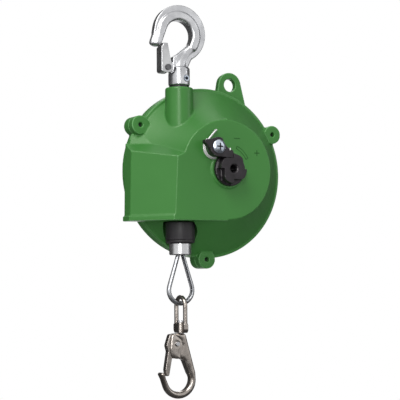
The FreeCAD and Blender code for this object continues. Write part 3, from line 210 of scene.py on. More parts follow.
def spread(tree, value, low, high, to_low=0.0, to_high=1.0):
    """Map Range node on a value socket; returns its output."""
    node = tree.nodes.new("ShaderNodeMapRange")
    tree.links.new(value, node.inputs["Value"])
    node.inputs["From Min"].default_value = low
    node.inputs["From Max"].default_value = high
    node.inputs["To Min"].default_value = to_low
    node.inputs["To Max"].default_value = to_high
    return node.outputs["Result"]


def sum_up(tree, operation, a, b):
    """Math node; a and b are sockets or numbers."""
    node = tree.nodes.new("ShaderNodeMath")
    node.operation = operation
    for slot, value in enumerate((a, b)):
        if isinstance(value, (int, float)):
            node.inputs[slot].default_value = value
        else:
            tree.links.new(value, node.inputs[slot])
    return node.outputs[0]


# Grain: slow clouds for tone, and a fine one for height. Sizes are in metres across.
grain, grain_in, grain_out = group_of(
    "surface_grain", [("Cloud Size", 0.02), ("Grain Size", 0.0012)], ["Cloud", "Grain"]
)
place = grain.nodes.new("ShaderNodeTexCoord").outputs["Object"]
for size, detail, result in (("Cloud Size", 2.0, "Cloud"), ("Grain Size", 3.0, "Grain")):
    noise = grain.nodes.new("ShaderNodeTexNoise")
    noise.inputs["Detail"].default_value = detail
    grain.links.new(place, noise.inputs["Vector"])
    grain.links.new(sum_up(grain, "DIVIDE", 1.0, grain_in.outputs[size]), noise.inputs["Scale"])
    grain.links.new(spread(grain, noise.outputs["Fac"], 0.3, 0.7), grain_out.inputs[result])

# Pale edges: a mask on convex edges, broken up by a noise so that it is uneven. It carries wear and painted
# highlight along edges.
wear_and_sheen_group, wear_and_sheen_in, wear_and_sheen_out = group_of("edge_wear", [("Sharpness", 0.04), ("Breakup", 0.5)], ["Worn"])
edge = spread(wear_and_sheen_group, wear_and_sheen_group.nodes.new("ShaderNodeNewGeometry").outputs["Pointiness"], 0.505, 0.575)
patchy = wear_and_sheen_group.nodes.new("ShaderNodeTexNoise")
patchy.inputs["Scale"].default_value = 260.0
wear_and_sheen_group.links.new(wear_and_sheen_group.nodes.new("ShaderNodeTexCoord").outputs["Object"], patchy.inputs["Vector"])
broken = sum_up(wear_and_sheen_group, "MULTIPLY", patchy.outputs["Fac"], wear_and_sheen_in.outputs["Breakup"])
kept = sum_up(wear_and_sheen_group, "SUBTRACT", edge, broken)
sharp = sum_up(wear_and_sheen_group, "DIVIDE", kept, sum_up(wear_and_sheen_group, "MAXIMUM", wear_and_sheen_in.outputs["Sharpness"], 0.001))
node = wear_and_sheen_group.nodes.new("ShaderNodeClamp")
wear_and_sheen_group.links.new(sharp, node.inputs["Value"])
wear_and_sheen_group.links.new(node.outputs[0], wear_and_sheen_out.inputs["Worn"])


def place_group(tree, group, **values):
    """A group node in a material, with its inputs set by name."""
    node = tree.nodes.new("ShaderNodeGroup")
    node.node_tree = group
    for label, value in values.items():
        node.inputs[label.replace("_", " ")].default_value = value
    return node


def two_tone(tree, factor, first, second):
    """Mixes two colours, given as values or sockets; returns the mix's output."""
    mix = tree.nodes.new("ShaderNodeMix")
    mix.data_type = "RGBA"
    tree.links.new(factor, mix.inputs["Factor"])
    for slot, colour in (("A", first), ("B", second)):
        socket = next(s for s in mix.inputs if s.name == slot and s.type == "RGBA")
        if isinstance(colour, tuple):
            socket.default_value = colour
        else:
            tree.links.new(colour, socket)
    return next(s for s in mix.outputs if s.type == "RGBA")


def finish_of(name, dark, pale, rough, metallic=0.0, cloud=0.02, fine=0.0012, bump=0.03, depth=0.05,
              wear_and_sheen_colour=None, wear_and_sheen_breakup=0.5, gloss=0.5, tint=(1, 1, 1, 1), lay=None):
    """A finish: two tones by cloud, paler edges for wear and painted highlight, roughness that varies, and a
    fine grained bump.
    """
    made = bpy.data.materials.new(name)
    made.use_nodes = True
    tree = made.node_tree
    bsdf = tree.nodes["Principled BSDF"]
    node = place_group(tree, grain, Cloud_Size=cloud, Grain_Size=fine)
    colour = two_tone(tree, node.outputs["Cloud"], dark, pale)
    # Paler edges: wear, and painted highlight on convex edges.
    if wear_and_sheen_colour:
        wear_and_sheen_edges = place_group(tree, wear_and_sheen_group, Sharpness=0.25, Breakup=wear_and_sheen_breakup)
        colour = two_tone(tree, wear_and_sheen_edges.outputs["Worn"], colour, wear_and_sheen_colour)
    tree.links.new(colour, bsdf.inputs["Base Color"])
    tree.links.new(spread(tree, node.outputs["Cloud"], 0, 1, rough[0], rough[1]), bsdf.inputs["Roughness"])
    bsdf.inputs["Metallic"].default_value = metallic
    bsdf.inputs["Specular IOR Level"].default_value = gloss
    bsdf.inputs["Specular Tint"].default_value = tint
    height = node.outputs["Grain"]
    if lay:
        twisted = place_group(tree, lay, Pitch=0.0126)
        height = sum_up(tree, "ADD", sum_up(tree, "MULTIPLY", height, 0.15), twisted.outputs["Strands"])
    relief = tree.nodes.new("ShaderNodeBump")
    relief.inputs["Strength"].default_value = bump
    relief.inputs["Distance"].default_value = depth * MM
    tree.links.new(height, relief.inputs["Height"])
    tree.links.new(relief.outputs["Normal"], bsdf.inputs["Normal"])
    return made


def dress(piece, finish):
    """Gives a piece one finish."""
    piece.data.materials.clear()
    piece.data.materials.append(finish)


def linked(name, data):
    """A new object in the scene."""
    piece = bpy.data.objects.new(name, data)
    bpy.context.scene.collection.objects.link(piece)
    return piece


def settled(piece):
    """Turns a piece's modifiers into its mesh."""
    graph = bpy.context.evaluated_depsgraph_get()
    mesh = bpy.data.meshes.new_from_object(piece.evaluated_get(graph))
    piece.modifiers.clear()
    piece.data = mesh
    for face in mesh.polygons:
        face.use_smooth = True
    return piece


def eased(piece, passes):
    """Smooths a piece all over, then settles it."""
    ease = piece.modifiers.new("ease", "SMOOTH")
    ease.factor = 0.5
    ease.iterations = passes
    return settled(piece)


def cast_skin(node, grid, passes, extra=None):
    """A node's shape with the small soft edges that casting or forging leaves; extra grows into it."""
    piece = linked(node + "_skin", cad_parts[node].data.copy())
    if extra:
        both = bmesh.new()
        both.from_mesh(piece.data)
        both.from_mesh(extra.data)
        both.to_mesh(piece.data)
        both.free()
        bpy.data.objects.remove(extra)
    weld = piece.modifiers.new("weld", "WELD")
    weld.merge_threshold = 0.01 * MM
    remesh = piece.modifiers.new("grid", "REMESH")
    remesh.mode = "VOXEL"
    remesh.voxel_size = grid
    return eased(piece, passes)


def round_off(piece, radius, low, high):
    """Lays the skin of a round part that stands on the hang line exactly on its cylinder."""
    near = 0.3 * MM
    outwards = 0.9
    skin = [(point, Vector(point.normal)) for point in piece.data.vertices if low < point.co.z < high]
    for point, facing in skin:
        out = Vector((point.co.x, point.co.y, 0))
        if abs(out.length - radius) < near and facing.dot(out.normalized()) > outwards:
            point.co = out * radius / out.length + Vector((0, 0, point.co.z))


# The paler green on convex edges is partly thin enamel and partly painted highlight.
enamel = finish_of("green_enamel", PAINT, (0.047, 0.203, 0.039, 1), (0.3, 0.4), cloud=0.05, fine=0.0016,
                   bump=0.12, depth=0.03, wear_and_sheen_colour=PAINT_THIN_AND_SHEEN, wear_and_sheen_breakup=0.38,
                   gloss=0.45, tint=(0.85, 0.95, 0.8, 1))
for node in ("front_case", "back_cover"):
    half = cast_skin(node, CASTING_GRID, 8)
    round_off(half, NECK_R, NECK_FOOT, NECK_SHOULDER)
    dress(half, enamel)
    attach(half, "housing")
    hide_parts(node)

# ---------------------------------------------------------------- marks cast on the face
# Fine raised lines round the tension wheel: a bar for slacker, a cross for tighter, and a curved band drawn
# between them. They are cast with the front case, and their enamel is painted a darker green as painted shade
# along the lines.
WHEEL_RING_H = 1.2 * MM
FACE_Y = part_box("front_case")[0].y + WHEEL_RING_H
WHEEL_AXIS = (32.3 * MM, -130.3 * MM)
MARK_H = 0.22 * MM
MARK_ROOT = 0.2 * MM
MARK_LINE = 0.75 * MM
TIGHTER_AT = (29.0 * MM, 15.3 * MM)
CROSS_ARM = 1.1 * MM
# The marks' darker green is painted shade, standing in for the shadow lines along them.
mark_enamel = finish_of("mark_enamel", (0.02, 0.092, 0.017, 1), (0.028, 0.12, 0.024, 1), (0.4, 0.5),
                        cloud=0.01, fine=0.0008, bump=0.1, gloss=0.2)


def piece_of(name, build, smooth=False):
    """A finished bmesh as a piece, with its faces turned outwards."""
    mesh = bpy.data.meshes.new(name)
    bmesh.ops.recalc_face_normals(build, faces=build.faces)
    build.to_mesh(mesh)
    build.free()
    for face in mesh.polygons:
        face.use_smooth = smooth
    return linked(name, mesh)


def softened(piece, width, segments, least_angle=30):
    """Rounds the edges of a piece that are sharper than an angle in degrees."""
    soft = piece.modifiers.new("soft", "BEVEL")
    soft.width = width
    soft.segments = segments
    soft.limit_method = "ANGLE"
    soft.angle_limit = math.radians(least_angle)
    return settled(piece)


def raised_mark(name, outline):
    """A low raised mark from (x, z) points measured from the wheel's axis."""
    build = bmesh.new()
    back = [build.verts.new((WHEEL_AXIS[0] + x, FACE_Y + MARK_ROOT, WHEEL_AXIS[1] + z)) for x, z in outline]
    sheet = build.faces.new(back)
    made = bmesh.ops.extrude_face_region(build, geom=[sheet])
    front = [v for v in made["geom"] if isinstance(v, bmesh.types.BMVert)]
    bmesh.ops.translate(build, verts=front, vec=(0, -MARK_H - MARK_ROOT, 0))
    piece = softened(piece_of(name, build), 0.1 * MM, 2)
    dress(piece, mark_enamel)
    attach(piece, "housing")


def bar_points(x, z, half_long, half_wide):
    """The four corners of a bar round its middle."""
    corners = ((-1, -1), (1, -1), (1, 1), (-1, 1))
    return [(x + a * half_long, z + b * half_wide) for a, b in corners]


half_line = MARK_LINE / 2
raised_mark("mark_slacker", bar_points(9.3 * MM, 27.2 * MM, 3.0 * MM, half_line))
raised_mark("mark_tighter", bar_points(*TIGHTER_AT, 2.6 * MM, half_line))
for end, side in (("low", -1), ("high", 1)):
    arm_z = TIGHTER_AT[1] + side * (half_line + CROSS_ARM)
    raised_mark("mark_tighter_" + end, bar_points(TIGHTER_AT[0], arm_z, half_line, CROSS_ARM))
for name, inner, outer, first, last in (
    ("mark_turn_outer", 22.4, 22.9, 27, 66), ("mark_turn_inner", 20.1, 20.6, 27, 66),
    ("mark_turn_start", 20.6, 22.4, 64.7, 66), ("mark_turn_end", 20.6, 22.4, 27, 28.3),
):
    turns = [math.radians(first + (last - first) * k / 12) for k in range(13)]
    outline = [(outer * MM * math.cos(a), outer * MM * math.sin(a)) for a in turns]
    outline += [(inner * MM * math.cos(a), inner * MM * math.sin(a)) for a in reversed(turns)]
    raised_mark(name, outline)

# ---------------------------------------------------------------- neck washer, case screws and rope guide
# A blackened washer lies between neck and hook. Three blackened screws join the halves from behind,
# and a white moulded guide lines the hole that the rope leaves by.


def finish_nodes(finish, *nodes):
    """Gives CAD nodes whose shape stays a finish."""
    for node in nodes:
        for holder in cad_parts[node].material_slots:
            holder.material = finish


nylon = finish_of("white_nylon", (0.68, 0.68, 0.63, 1), (0.76, 0.76, 0.71, 1), (0.42, 0.55), cloud=0.01,
                  fine=0.0008, bump=0.06)
screw_zinc = finish_of("screw_zinc", (0.42, 0.47, 0.55, 1), (0.55, 0.6, 0.67, 1), (0.22, 0.34), metallic=1.0,
                       cloud=0.004, fine=0.0004, bump=0.08)
black_oxide = finish_of("black_oxide", (0.008, 0.008, 0.009, 1), (0.018, 0.017, 0.019, 1), (0.3, 0.45),
                        metallic=0.3, cloud=0.004, fine=0.0004, bump=0.06)
finish_nodes(nylon, "rope_guide")
finish_nodes(black_oxide, "neck_washer", "case_screws")

# ---------------------------------------------------------------- upper hook and its collar
# Drop-forged steel hook with a bead round its bowl and a turned collar, bright zinc plated. The
# forging leaves soft edges and a faintly uneven skin that the plating follows.
PLANE_NORMAL = Vector((0, 1, 0))
BEAK_X = -18.5 * MM
BEAK_Z = -12.0 * MM
BEAK_PASSES = 110
COLLAR_R = 9.3 * MM
COLLAR_SPAN = (-54.6 * MM, -43.6 * MM)
bright_zinc = finish_of("bright_zinc", (0.44, 0.445, 0.46, 1), (0.62, 0.625, 0.64, 1), (0.27, 0.4),
                        metallic=1.0, cloud=0.012, fine=0.0018, bump=0.22, depth=0.06)


def ahead_at(path, step):
    """The direction of a path at one of its points."""
    return (path[min(step + 1, len(path) - 1)] - path[max(step - 1, 0)]).normalized()


def join_rings(build, before, ring):
    """Faces between two rings of vertices; with none before, one face closes the ring."""
    if before:
        for k in range(len(ring)):
            after = (k + 1) % len(ring)
            build.faces.new((before[k], before[after], ring[after], ring[k]))
    else:
        build.faces.new(ring)


def forged_bar(name, stations, sides=32):
    """A bar of oval section in the hook's plane; a station is (x, z, half width, half depth) in mm."""
    build = bmesh.new()
    before = None
    middles = [Vector((x, 0, z)) for x, z, wide, deep in stations]
    for step, (x, z, wide, deep) in enumerate(stations):
        out = ahead_at(middles, step).cross(PLANE_NORMAL)
        ring = []
        for k in range(sides):
            turn = math.tau * k / sides
            ring.append(build.verts.new(
                (middles[step] + out * wide * math.cos(turn) + Vector((0, deep * math.sin(turn), 0))) * MM
            ))
        join_rings(build, before, ring)
        before = ring
    build.faces.new(list(reversed(before)))
    return piece_of(name, build)


# The bead runs on as a rounded shank, down into the collar.
shank = forged_bar("hook_shank", [
    (13.6, -19.4, 3.6, 4.6), (12.0, -22.2, 4.1, 5.1), (9.4, -25.2, 4.5, 5.0), (6.2, -28.3, 4.9, 4.7),
    (3.9, -31.4, 5.2, 4.5), (2.2, -34.6, 5.5, 4.5), (1.2, -37.6, 5.9, 5.0), (0.8, -40.5, 6.3, 5.6),
])
hook = cast_skin("upper_hook", 0.42 * MM, 10, shank)
beak = bmesh.new()
beak.from_mesh(hook.data)
tip = [v for v in beak.verts if v.co.x < BEAK_X and v.co.z < BEAK_Z]
for _ in range(BEAK_PASSES):
    bmesh.ops.smooth_vert(beak, verts=tip, factor=0.5, use_axis_x=True, use_axis_y=True, use_axis_z=True)
beak.to_mesh(hook.data)
beak.free()
round_off(hook, COLLAR_R, *COLLAR_SPAN)
dress(hook, bright_zinc)
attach(hook, "upper_hook")
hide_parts("upper_hook")
finish_nodes(screw_zinc, "hook_roll_pin")

# ---------------------------------------------------------------- hook latch
# Pressed channel of zinc plated sheet that closes the hook's mouth. It turns on a rivet and a thin
# wire spring pushes it shut.
PIVOT_Z = -41.8 * MM
LATCH_TAPER = 0.3
LATCH_SHIFT = 1.7 * MM
sheet_zinc = finish_of("sheet_zinc", (0.4, 0.4, 0.41, 1), (0.55, 0.555, 0.56, 1), (0.24, 0.36), metallic=1.0,
                       cloud=0.01, fine=0.0009, bump=0.1)


def share(value, span):
    """How much of a span a value fills, from 0 to 1."""
    return min(1.0, max(0.0, value / span))


# The latch tapers upwards, and below the beak its web stands further out.
latch = cast_skin("upper_latch", 0.28 * MM, 3)
latch_low, latch_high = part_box("upper_latch")
web_x = latch_low.x + 1.4 * MM
for point in latch.data.vertices:
    up = (point.co.z - PIVOT_Z) / (latch_high.z - PIVOT_Z)
    below_beak = share(latch_high.z - 1.5 * MM - point.co.z, 2.5 * MM)
    left = share(web_x + 3.6 * MM - point.co.x, 3.6 * MM)
    if point.co.x > web_x and up > 0:
        point.co.x = web_x + (point.co.x - web_x) * (1 - LATCH_TAPER * up)
    point.co.x -= LATCH_SHIFT * left * below_beak
dress(latch, sheet_zinc)
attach(latch, "latch")
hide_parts("upper_latch")
wire = finish_of("spring_wire", (0.3, 0.31, 0.34, 1), (0.5, 0.51, 0.53, 1), (0.2, 0.3), metallic=1.0,
                 cloud=0.004, fine=0.0005, bump=0.06)
finish_nodes(wire, "latch_spring", "gate_spring")
# The latch pin is painted dark: painted shade for the dark ring round the pivot.
pin_steel = finish_of("pin_steel", (0.09, 0.09, 0.095, 1), (0.17, 0.17, 0.175, 1), (0.25, 0.36), metallic=1.0,
                      cloud=0.003, fine=0.0004, bump=0.06)
finish_nodes(pin_steel, "latch_pin")

# ---------------------------------------------------------------- tension wheel and pawl
# Sintered steel wheel with four ratchet steps and a hexagon for the key, and the pawl that holds it. Both are
# blackened and oiled. Their edges are painted a dull grey: partly rubbed wear, partly painted highlight.
TOOTH_R = 11.4 * MM
TOOTH_T = 6.6 * MM
TOOTH_TIGHTER = 0.55
# Grey edges: rubbed wear, and painted highlight on the convex edges.
blacking = finish_of("blacking", (0.0105, 0.0085, 0.0105, 1), (0.024, 0.02, 0.024, 1), (0.3, 0.46),
                     metallic=0.35, cloud=0.006, fine=0.0007, bump=0.16, depth=0.04,
                     wear_and_sheen_colour=(0.15, 0.14, 0.145, 1), wear_and_sheen_breakup=0.75)

# The teeth stand less proud than the rim behind them.
wheel = cast_skin("ratchet_wheel", 0.22 * MM, 2)
wheel_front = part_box("ratchet_wheel")[0].y
for point in wheel.data.vertices:
    out = Vector((point.co.x - WHEEL_AXIS[0], point.co.z - WHEEL_AXIS[1]))
    ahead_of_rim = share(wheel_front + TOOTH_T - point.co.y, 1.2 * MM)
    if out.length > TOOTH_R:
        tight = (TOOTH_R + (out.length - TOOTH_R) * (1 - TOOTH_TIGHTER * ahead_of_rim)) / out.length
        point.co.x = WHEEL_AXIS[0] + out.x * tight
        point.co.z = WHEEL_AXIS[1] + out.y * tight
eased(wheel, 7)
dress(wheel, blacking)
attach(wheel, "tension")
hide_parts("ratchet_wheel")
pawl = cast_skin("pawl", 0.2 * MM, 5)
dress(pawl, blacking)
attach(pawl, "pawl")
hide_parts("pawl")
finish_nodes(black_oxide, "wheel_pin", "main_shaft")

# ---------------------------------------------------------------- pawl screw and pawl spring
# A zinc plated cross-head screw holds the pawl on its sleeve. Behind the pawl lies a bright
# torsion spring: one leg stands in the case, and a thin end hooks over the pawl's nose.
spring_bright = finish_of("spring_bright", (0.6, 0.6, 0.59, 1), (0.78, 0.78, 0.77, 1), (0.2, 0.3),
                          metallic=0.35, cloud=0.004, fine=0.0006, bump=0.05)
finish_nodes(screw_zinc, "pawl_screw", "pawl_collar")
finish_nodes(spring_bright, "pawl_spring")


def bent_wire(name, points, radius, sides=10):
    """A round wire through a few points, as one mesh with closed ends."""
    line = bpy.data.curves.new(name, "CURVE")
    line.dimensions = "3D"
    line.bevel_depth = radius
    line.bevel_resolution = sides // 4
    line.use_fill_caps = True
    run = line.splines.new("NURBS")
    run.points.add(len(points) - 1)
    for point, place in zip(run.points, points):
        point.co = (*place, 1)
    run.order_u = 3
    run.use_endpoint_u = True
    run.resolution_u = 10
    drawn = linked(name, line)
    mesh = bpy.data.meshes.new_from_object(drawn.evaluated_get(bpy.context.evaluated_depsgraph_get()))
    bpy.data.objects.remove(drawn)
    for face in mesh.polygons:
        face.use_smooth = True
    return linked(name, mesh)


def joined_boxes(name, boxes):
    """One mesh of rounded blocks, each from its lowest and highest corner."""
    build = bmesh.new()
    for low, high in boxes:
        made = bmesh.ops.create_cube(build, size=1)
        middle = [(a + b) / 2 for a, b in zip(low, high)]
        bmesh.ops.scale(build, vec=[b - a for a, b in zip(low, high)], verts=made["verts"])
        bmesh.ops.translate(build, vec=middle, verts=made["verts"])
    return softened(piece_of(name, build), 0.1 * MM, 2)


# The spring's second turn lies against the case, under the first.
PAWL_AT = (WHEEL_AXIS[0] - 14.3 * MM, WHEEL_AXIS[1] + 18.2 * MM)
TURN_R = 9.3 * MM
turn_y = FACE_Y - 0.95 * MM
bearings = [math.radians(a) for a in range(130, 286, 14)]
under_turn = bent_wire("pawl_spring_turn", [
    (PAWL_AT[0] + TURN_R * math.cos(a), turn_y, PAWL_AT[1] + TURN_R * math.sin(a)) for a in bearings
], 0.82 * MM, 16)
dress(under_turn, spring_bright)
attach(under_turn, "housing")

# A blackened block at the foot of the screw's cross is painted shade for the deep recess.
screw_low, screw_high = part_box("pawl_screw")
screw_x = (screw_low.x + screw_high.x) / 2
screw_z = (screw_low.z + screw_high.z) / 2
recess_y = screw_low.y + 0.75 * MM
foot_y = recess_y + 0.9 * MM
arms = ((2.9 * MM, 0.62 * MM), (0.62 * MM, 2.9 * MM))
cross_recess_shade = joined_boxes("screw_cross_grime", [
    ((screw_x - a, recess_y, screw_z - b), (screw_x + a, foot_y, screw_z + b)) for a, b in arms
])
dress(cross_recess_shade, black_oxide)
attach(cross_recess_shade, "housing")

# The spring's thin end runs behind the pawl and hooks over its nose.
NOSE_X = 28.6 * MM
NOSE_TOP = -113.7 * MM
pawl_low, pawl_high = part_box("pawl")
behind = pawl_high.y + 0.62 * MM
spring_end = bent_wire("pawl_spring_end", [
    (NOSE_X - 9.0 * MM, behind, NOSE_TOP - 2.0 * MM),
    (NOSE_X - 4.0 * MM, behind, NOSE_TOP - 0.6 * MM),
    (NOSE_X, behind, NOSE_TOP + 0.5 * MM),
    (NOSE_X + 0.3 * MM, pawl_high.y - 1.0 * MM, NOSE_TOP + 0.7 * MM),
    (NOSE_X + 0.3 * MM, pawl_low.y - 0.1 * MM, NOSE_TOP + 0.7 * MM),
    (NOSE_X + 0.1 * MM, pawl_low.y - 0.55 * MM, NOSE_TOP + 0.2 * MM),
    (NOSE_X - 0.3 * MM, pawl_low.y - 0.5 * MM, NOSE_TOP - 1.3 * MM),
], 0.5 * MM)
dress(spring_end, spring_bright)
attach(spring_end, "pawl")

# ---------------------------------------------------------------- inside: shaft, drum and mainspring
# The blackened shaft turns in sintered bronze bushes. It carries the die-cast rope drum with the
# blued mainspring under a pressed lid. The hook's stem and the shaft's clip are turned steel.
turned_steel = finish_of("turned_steel", (0.5, 0.5, 0.52, 1), (0.6, 0.6, 0.62, 1), (0.2, 0.32), metallic=1.0,
                         cloud=0.006, fine=0.0004, bump=0.07)
bronze = finish_of("sintered_bronze", (0.36, 0.2, 0.08, 1), (0.5, 0.3, 0.12, 1), (0.3, 0.45), metallic=1.0,
                   cloud=0.005, fine=0.0005, bump=0.14)
raw_alloy = finish_of("raw_alloy", (0.48, 0.49, 0.51, 1), (0.6, 0.61, 0.63, 1), (0.36, 0.5), metallic=1.0,
                      cloud=0.012, fine=0.0014, bump=0.2)
blued = finish_of("blued_strip", (0.035, 0.045, 0.09, 1), (0.07, 0.08, 0.13, 1), (0.2, 0.34), metallic=1.0,
                  cloud=0.01, fine=0.0006, bump=0.06)
finish_nodes(turned_steel, "hook_stem", "shaft_clip")
finish_nodes(bronze, "front_bush", "rear_bush", "drum_bush")
finish_nodes(raw_alloy, "rope_drum")
finish_nodes(screw_zinc, "spring_cover", "spring_cover_screws")
finish_nodes(blued, "mainspring")

# ---------------------------------------------------------------- wire rope
# Six strands of fine steel wire laid right-handed round a core, 3 mm across. It winds on the drum,
# leaves through the guide, and its end is laid round a thimble and pressed in a ferrule.
ROPE_R = 1.5 * MM
STRAND_R = 0.5 * MM
STRAND_AT = 0.98 * MM
LAY = 12.6 * MM
STRANDS = 6
EYE_STEP = 0.5 * MM

# Rope lay: the strands of an upright rope on the hang line, from height and bearing round it.
rope_lay, lay_in, lay_out = group_of("rope_lay", [("Pitch", LAY)], ["Strands"])
split = rope_lay.nodes.new("ShaderNodeSeparateXYZ")
rope_lay.links.new(rope_lay.nodes.new("ShaderNodeTexCoord").outputs["Object"], split.inputs[0])
bearing = sum_up(rope_lay, "ARCTAN2", split.outputs[1], split.outputs[0])
bearing = sum_up(rope_lay, "MULTIPLY", bearing, STRANDS)
rise = sum_up(rope_lay, "DIVIDE", sum_up(rope_lay, "MULTIPLY", split.outputs[2], 2 * math.pi * STRANDS),
              lay_in.outputs["Pitch"])
wave = sum_up(rope_lay, "SINE", sum_up(rope_lay, "SUBTRACT", bearing, rise), 0.0)
rope_lay.links.new(spread(rope_lay, sum_up(rope_lay, "ABSOLUTE", wave, 0.0), 0, 1), lay_out.inputs["Strands"])

rope_wire = finish_of("rope_wire", (0.12, 0.125, 0.135, 1), (0.22, 0.225, 0.24, 1), (0.26, 0.4), metallic=1.0,
                      cloud=0.003, fine=0.0003, bump=0.25, depth=0.03)
rope_plain = finish_of("rope_plain", (0.12, 0.125, 0.135, 1), (0.22, 0.225, 0.24, 1), (0.26, 0.4),
                       metallic=1.0, cloud=0.003, fine=0.0003, bump=0.6, depth=0.35, lay=rope_lay)
finish_nodes(rope_plain, "rope_inside")
finish_nodes(rope_wire, "wound_rope")


def laid_rope(name, path, across):
    """Six twisted strands and a core along a flat path; across is the direction out of its plane."""
    sides = 8
    build = bmesh.new()
    run = [0.0]
    for first, second in zip(path, path[1:]):
        run.append(run[-1] + (second - first).length)
    for strand in range(STRANDS + 1):
        before = None
        for step, place in enumerate(path):
            out = ahead_at(path, step).cross(across).normalized()
            angle = 2 * math.pi * (strand / STRANDS + run[step] / LAY)
            reach = STRAND_AT if strand < STRANDS else 0.0
            middle = place + (out * math.cos(angle) + across * math.sin(angle)) * reach
            ring = []
            for side in range(sides):
                turn = 2 * math.pi * side / sides
                away = out * math.cos(turn) + across * math.sin(turn)
                ring.append(build.verts.new(middle + away * STRAND_R))
            join_rings(build, before, ring)
            before = ring
        build.faces.new(list(reversed(before)))
    return piece_of(name, build, smooth=True)


def eye_path(radius, leg_x, neck_z, middle_z, top_z):
    """Points down one leg, round the thimble and up the other leg, half a millimetre apart."""
    far = math.hypot(leg_x, neck_z - middle_z)
    lean = math.acos(radius / far) + math.asin(leg_x / far)
    leaves = math.pi / 2 - lean
    half = [Vector((leg_x, 0, top_z)), Vector((leg_x, 0, neck_z))]
    half += [
        Vector((radius * math.cos(a), 0, middle_z + radius * math.sin(a)))
        for a in (leaves - (math.pi / 2 + leaves) * k / 30 for k in range(31))
    ]
    whole = half + [Vector((-p.x, 0, p.z)) for p in reversed(half[:-1])]
    even = [whole[0]]
    for first, second in zip(whole, whole[1:]):
        count = max(1, round((second - first).length / EYE_STEP))
        even += [first.lerp(second, k / count) for k in range(1, count + 1)]
    for _ in range(12):
        eased_run = [(a + b * 2 + c) / 4 for a, b, c in zip(even, even[1:], even[2:])]
        even = [even[0]] + eased_run + [even[-1]]
    return even


EYE_R = 10.7 * MM
LEG_X = 1.65 * MM
eye_low, eye_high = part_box("rope_eye")
eye_middle = eye_low.z + ROPE_R + EYE_R
cap_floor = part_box("rope_end_cap")[0].z
legs_part = cap_floor + 0.8 * MM
eye = laid_rope("laid_eye", eye_path(EYE_R, LEG_X, legs_part, eye_middle, eye_high.z), PLANE_NORMAL)
dress(eye, rope_wire)
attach(eye, "rope_end")
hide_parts("rope_eye")

# The pulled length between guide and bumper: short and out of sight when the rope is wound in.
LEAD_STEPS = 40


def round_ring(build, radius, height, sides):
    """A level ring of vertices about the hang line."""
    turns = [math.tau * k / sides for k in range(sides)]
    return [build.verts.new((radius * math.cos(a), radius * math.sin(a), height)) for a in turns]


lead_low, lead_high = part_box("rope_lead")
tube = bmesh.new()
over = None
for step in range(LEAD_STEPS + 1):
    under = round_ring(tube, ROPE_R, lead_high.z + (lead_low.z - lead_high.z) * step / LEAD_STEPS, 24)
    join_rings(tube, over, under)
    over = under
tube.faces.new(list(reversed(over)))
pulled = piece_of("pulled_rope", tube, smooth=True)
dress(pulled, rope_plain)
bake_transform(pulled)
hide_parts("rope_lead")

# ---------------------------------------------------------------- bumper and rope-end cap
# A moulded black rubber bumper takes the blow when the rope runs in. Below it a turned and plated
# cap covers the ferrule and lets the two legs of the rope out.
rubber = finish_of("black_rubber", (0.015, 0.013, 0.015, 1), (0.026, 0.023, 0.027, 1), (0.42, 0.58),
                   cloud=0.008, fine=0.0009, bump=0.14)
cap_plate = finish_of("cap_plate", (0.5, 0.505, 0.515, 1), (0.62, 0.62, 0.63, 1), (0.28, 0.36), metallic=1.0,
                      cloud=0.01, fine=0.0006, bump=0.06)


def turned(name, profile, steps=96):
    """A ring of (radius, height) points turned about the hang line, from its bore outwards."""
    build = bmesh.new()
    rings = [round_ring(build, radius, height, steps) for radius, height in profile]
    for first, second in zip(rings, rings[1:] + rings[:1]):
        join_rings(build, first, second)
    return softened(piece_of(name, build), 0.25 * MM, 3, least_angle=24)


# A fine groove runs round it near the foot, and its underside is hollowed for the ferrule.
low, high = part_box("bumper")
bore_r = 1.9 * MM
hollow_r = 5.2 * MM
hollow_top = low.z + 4.0 * MM
groove_r = high.x - 0.35 * MM
bumper = turned("rubber_bumper", [
    (bore_r, high.z), (high.x - 0.9 * MM, high.z), (high.x, high.z - 0.9 * MM),
    (high.x, low.z + 3.1 * MM), (groove_r, low.z + 2.8 * MM), (groove_r, low.z + 2.4 * MM),
    (high.x, low.z + 2.1 * MM), (high.x, low.z + 1.0 * MM), (high.x - 1.0 * MM, low.z),
    (hollow_r, low.z), (hollow_r, hollow_top), (bore_r, hollow_top),
])
dress(bumper, rubber)
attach(bumper, "rope_end")
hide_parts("bumper")
finish_nodes(cap_plate, "rope_end_cap")
finish_nodes(raw_alloy, "rope_ferrule")

# ---------------------------------------------------------------- thimble, bail and swivel rivet
# A pressed galvanised thimble keeps the rope eye round, and a nickel plated forged bail hangs in
# it. The bail's foot turns on the headed rivet of the snap hook.
galvanised = finish_of("galvanised", (0.36, 0.375, 0.4, 1), (0.52, 0.53, 0.55, 1), (0.2, 0.32), metallic=1.0,
                        cloud=0.006, fine=0.0009, bump=0.16)


def channel(name, path, across, sections):
    """A sheet channel swept along a flat path; sections give (n, y) points for each step."""
    build = bmesh.new()
    before = None
    for step, place in enumerate(path):
        out = ahead_at(path, step).cross(across).normalized()
        ring = [build.verts.new(place + out * n + across * y) for n, y in sections(step / (len(path) - 1))]
        join_rings(build, before, ring)
        before = ring
    build.faces.new(list(reversed(before)))
    return piece_of(name, build, smooth=True)


def thimble_section(along):
    """Points round the pressed sheet: deepest at the foot of the eye, slimmer up its legs."""
    foot = math.sin(math.pi * along) ** 2
    wrap = math.radians(96 - 10 * (1 - foot))
    deep, wide = (2.15 + 0.5 * foot) * MM, (1.75 + 0.45 * foot) * MM
    bore = ROPE_R + 0.06 * MM
    outer = [wrap * k / 8 for k in range(-8, 9)]
    points = [(deep * math.cos(a), wide * math.sin(a)) for a in outer]
    points += [(bore * math.cos(a), bore * math.sin(a)) for a in reversed(outer)]
    return points


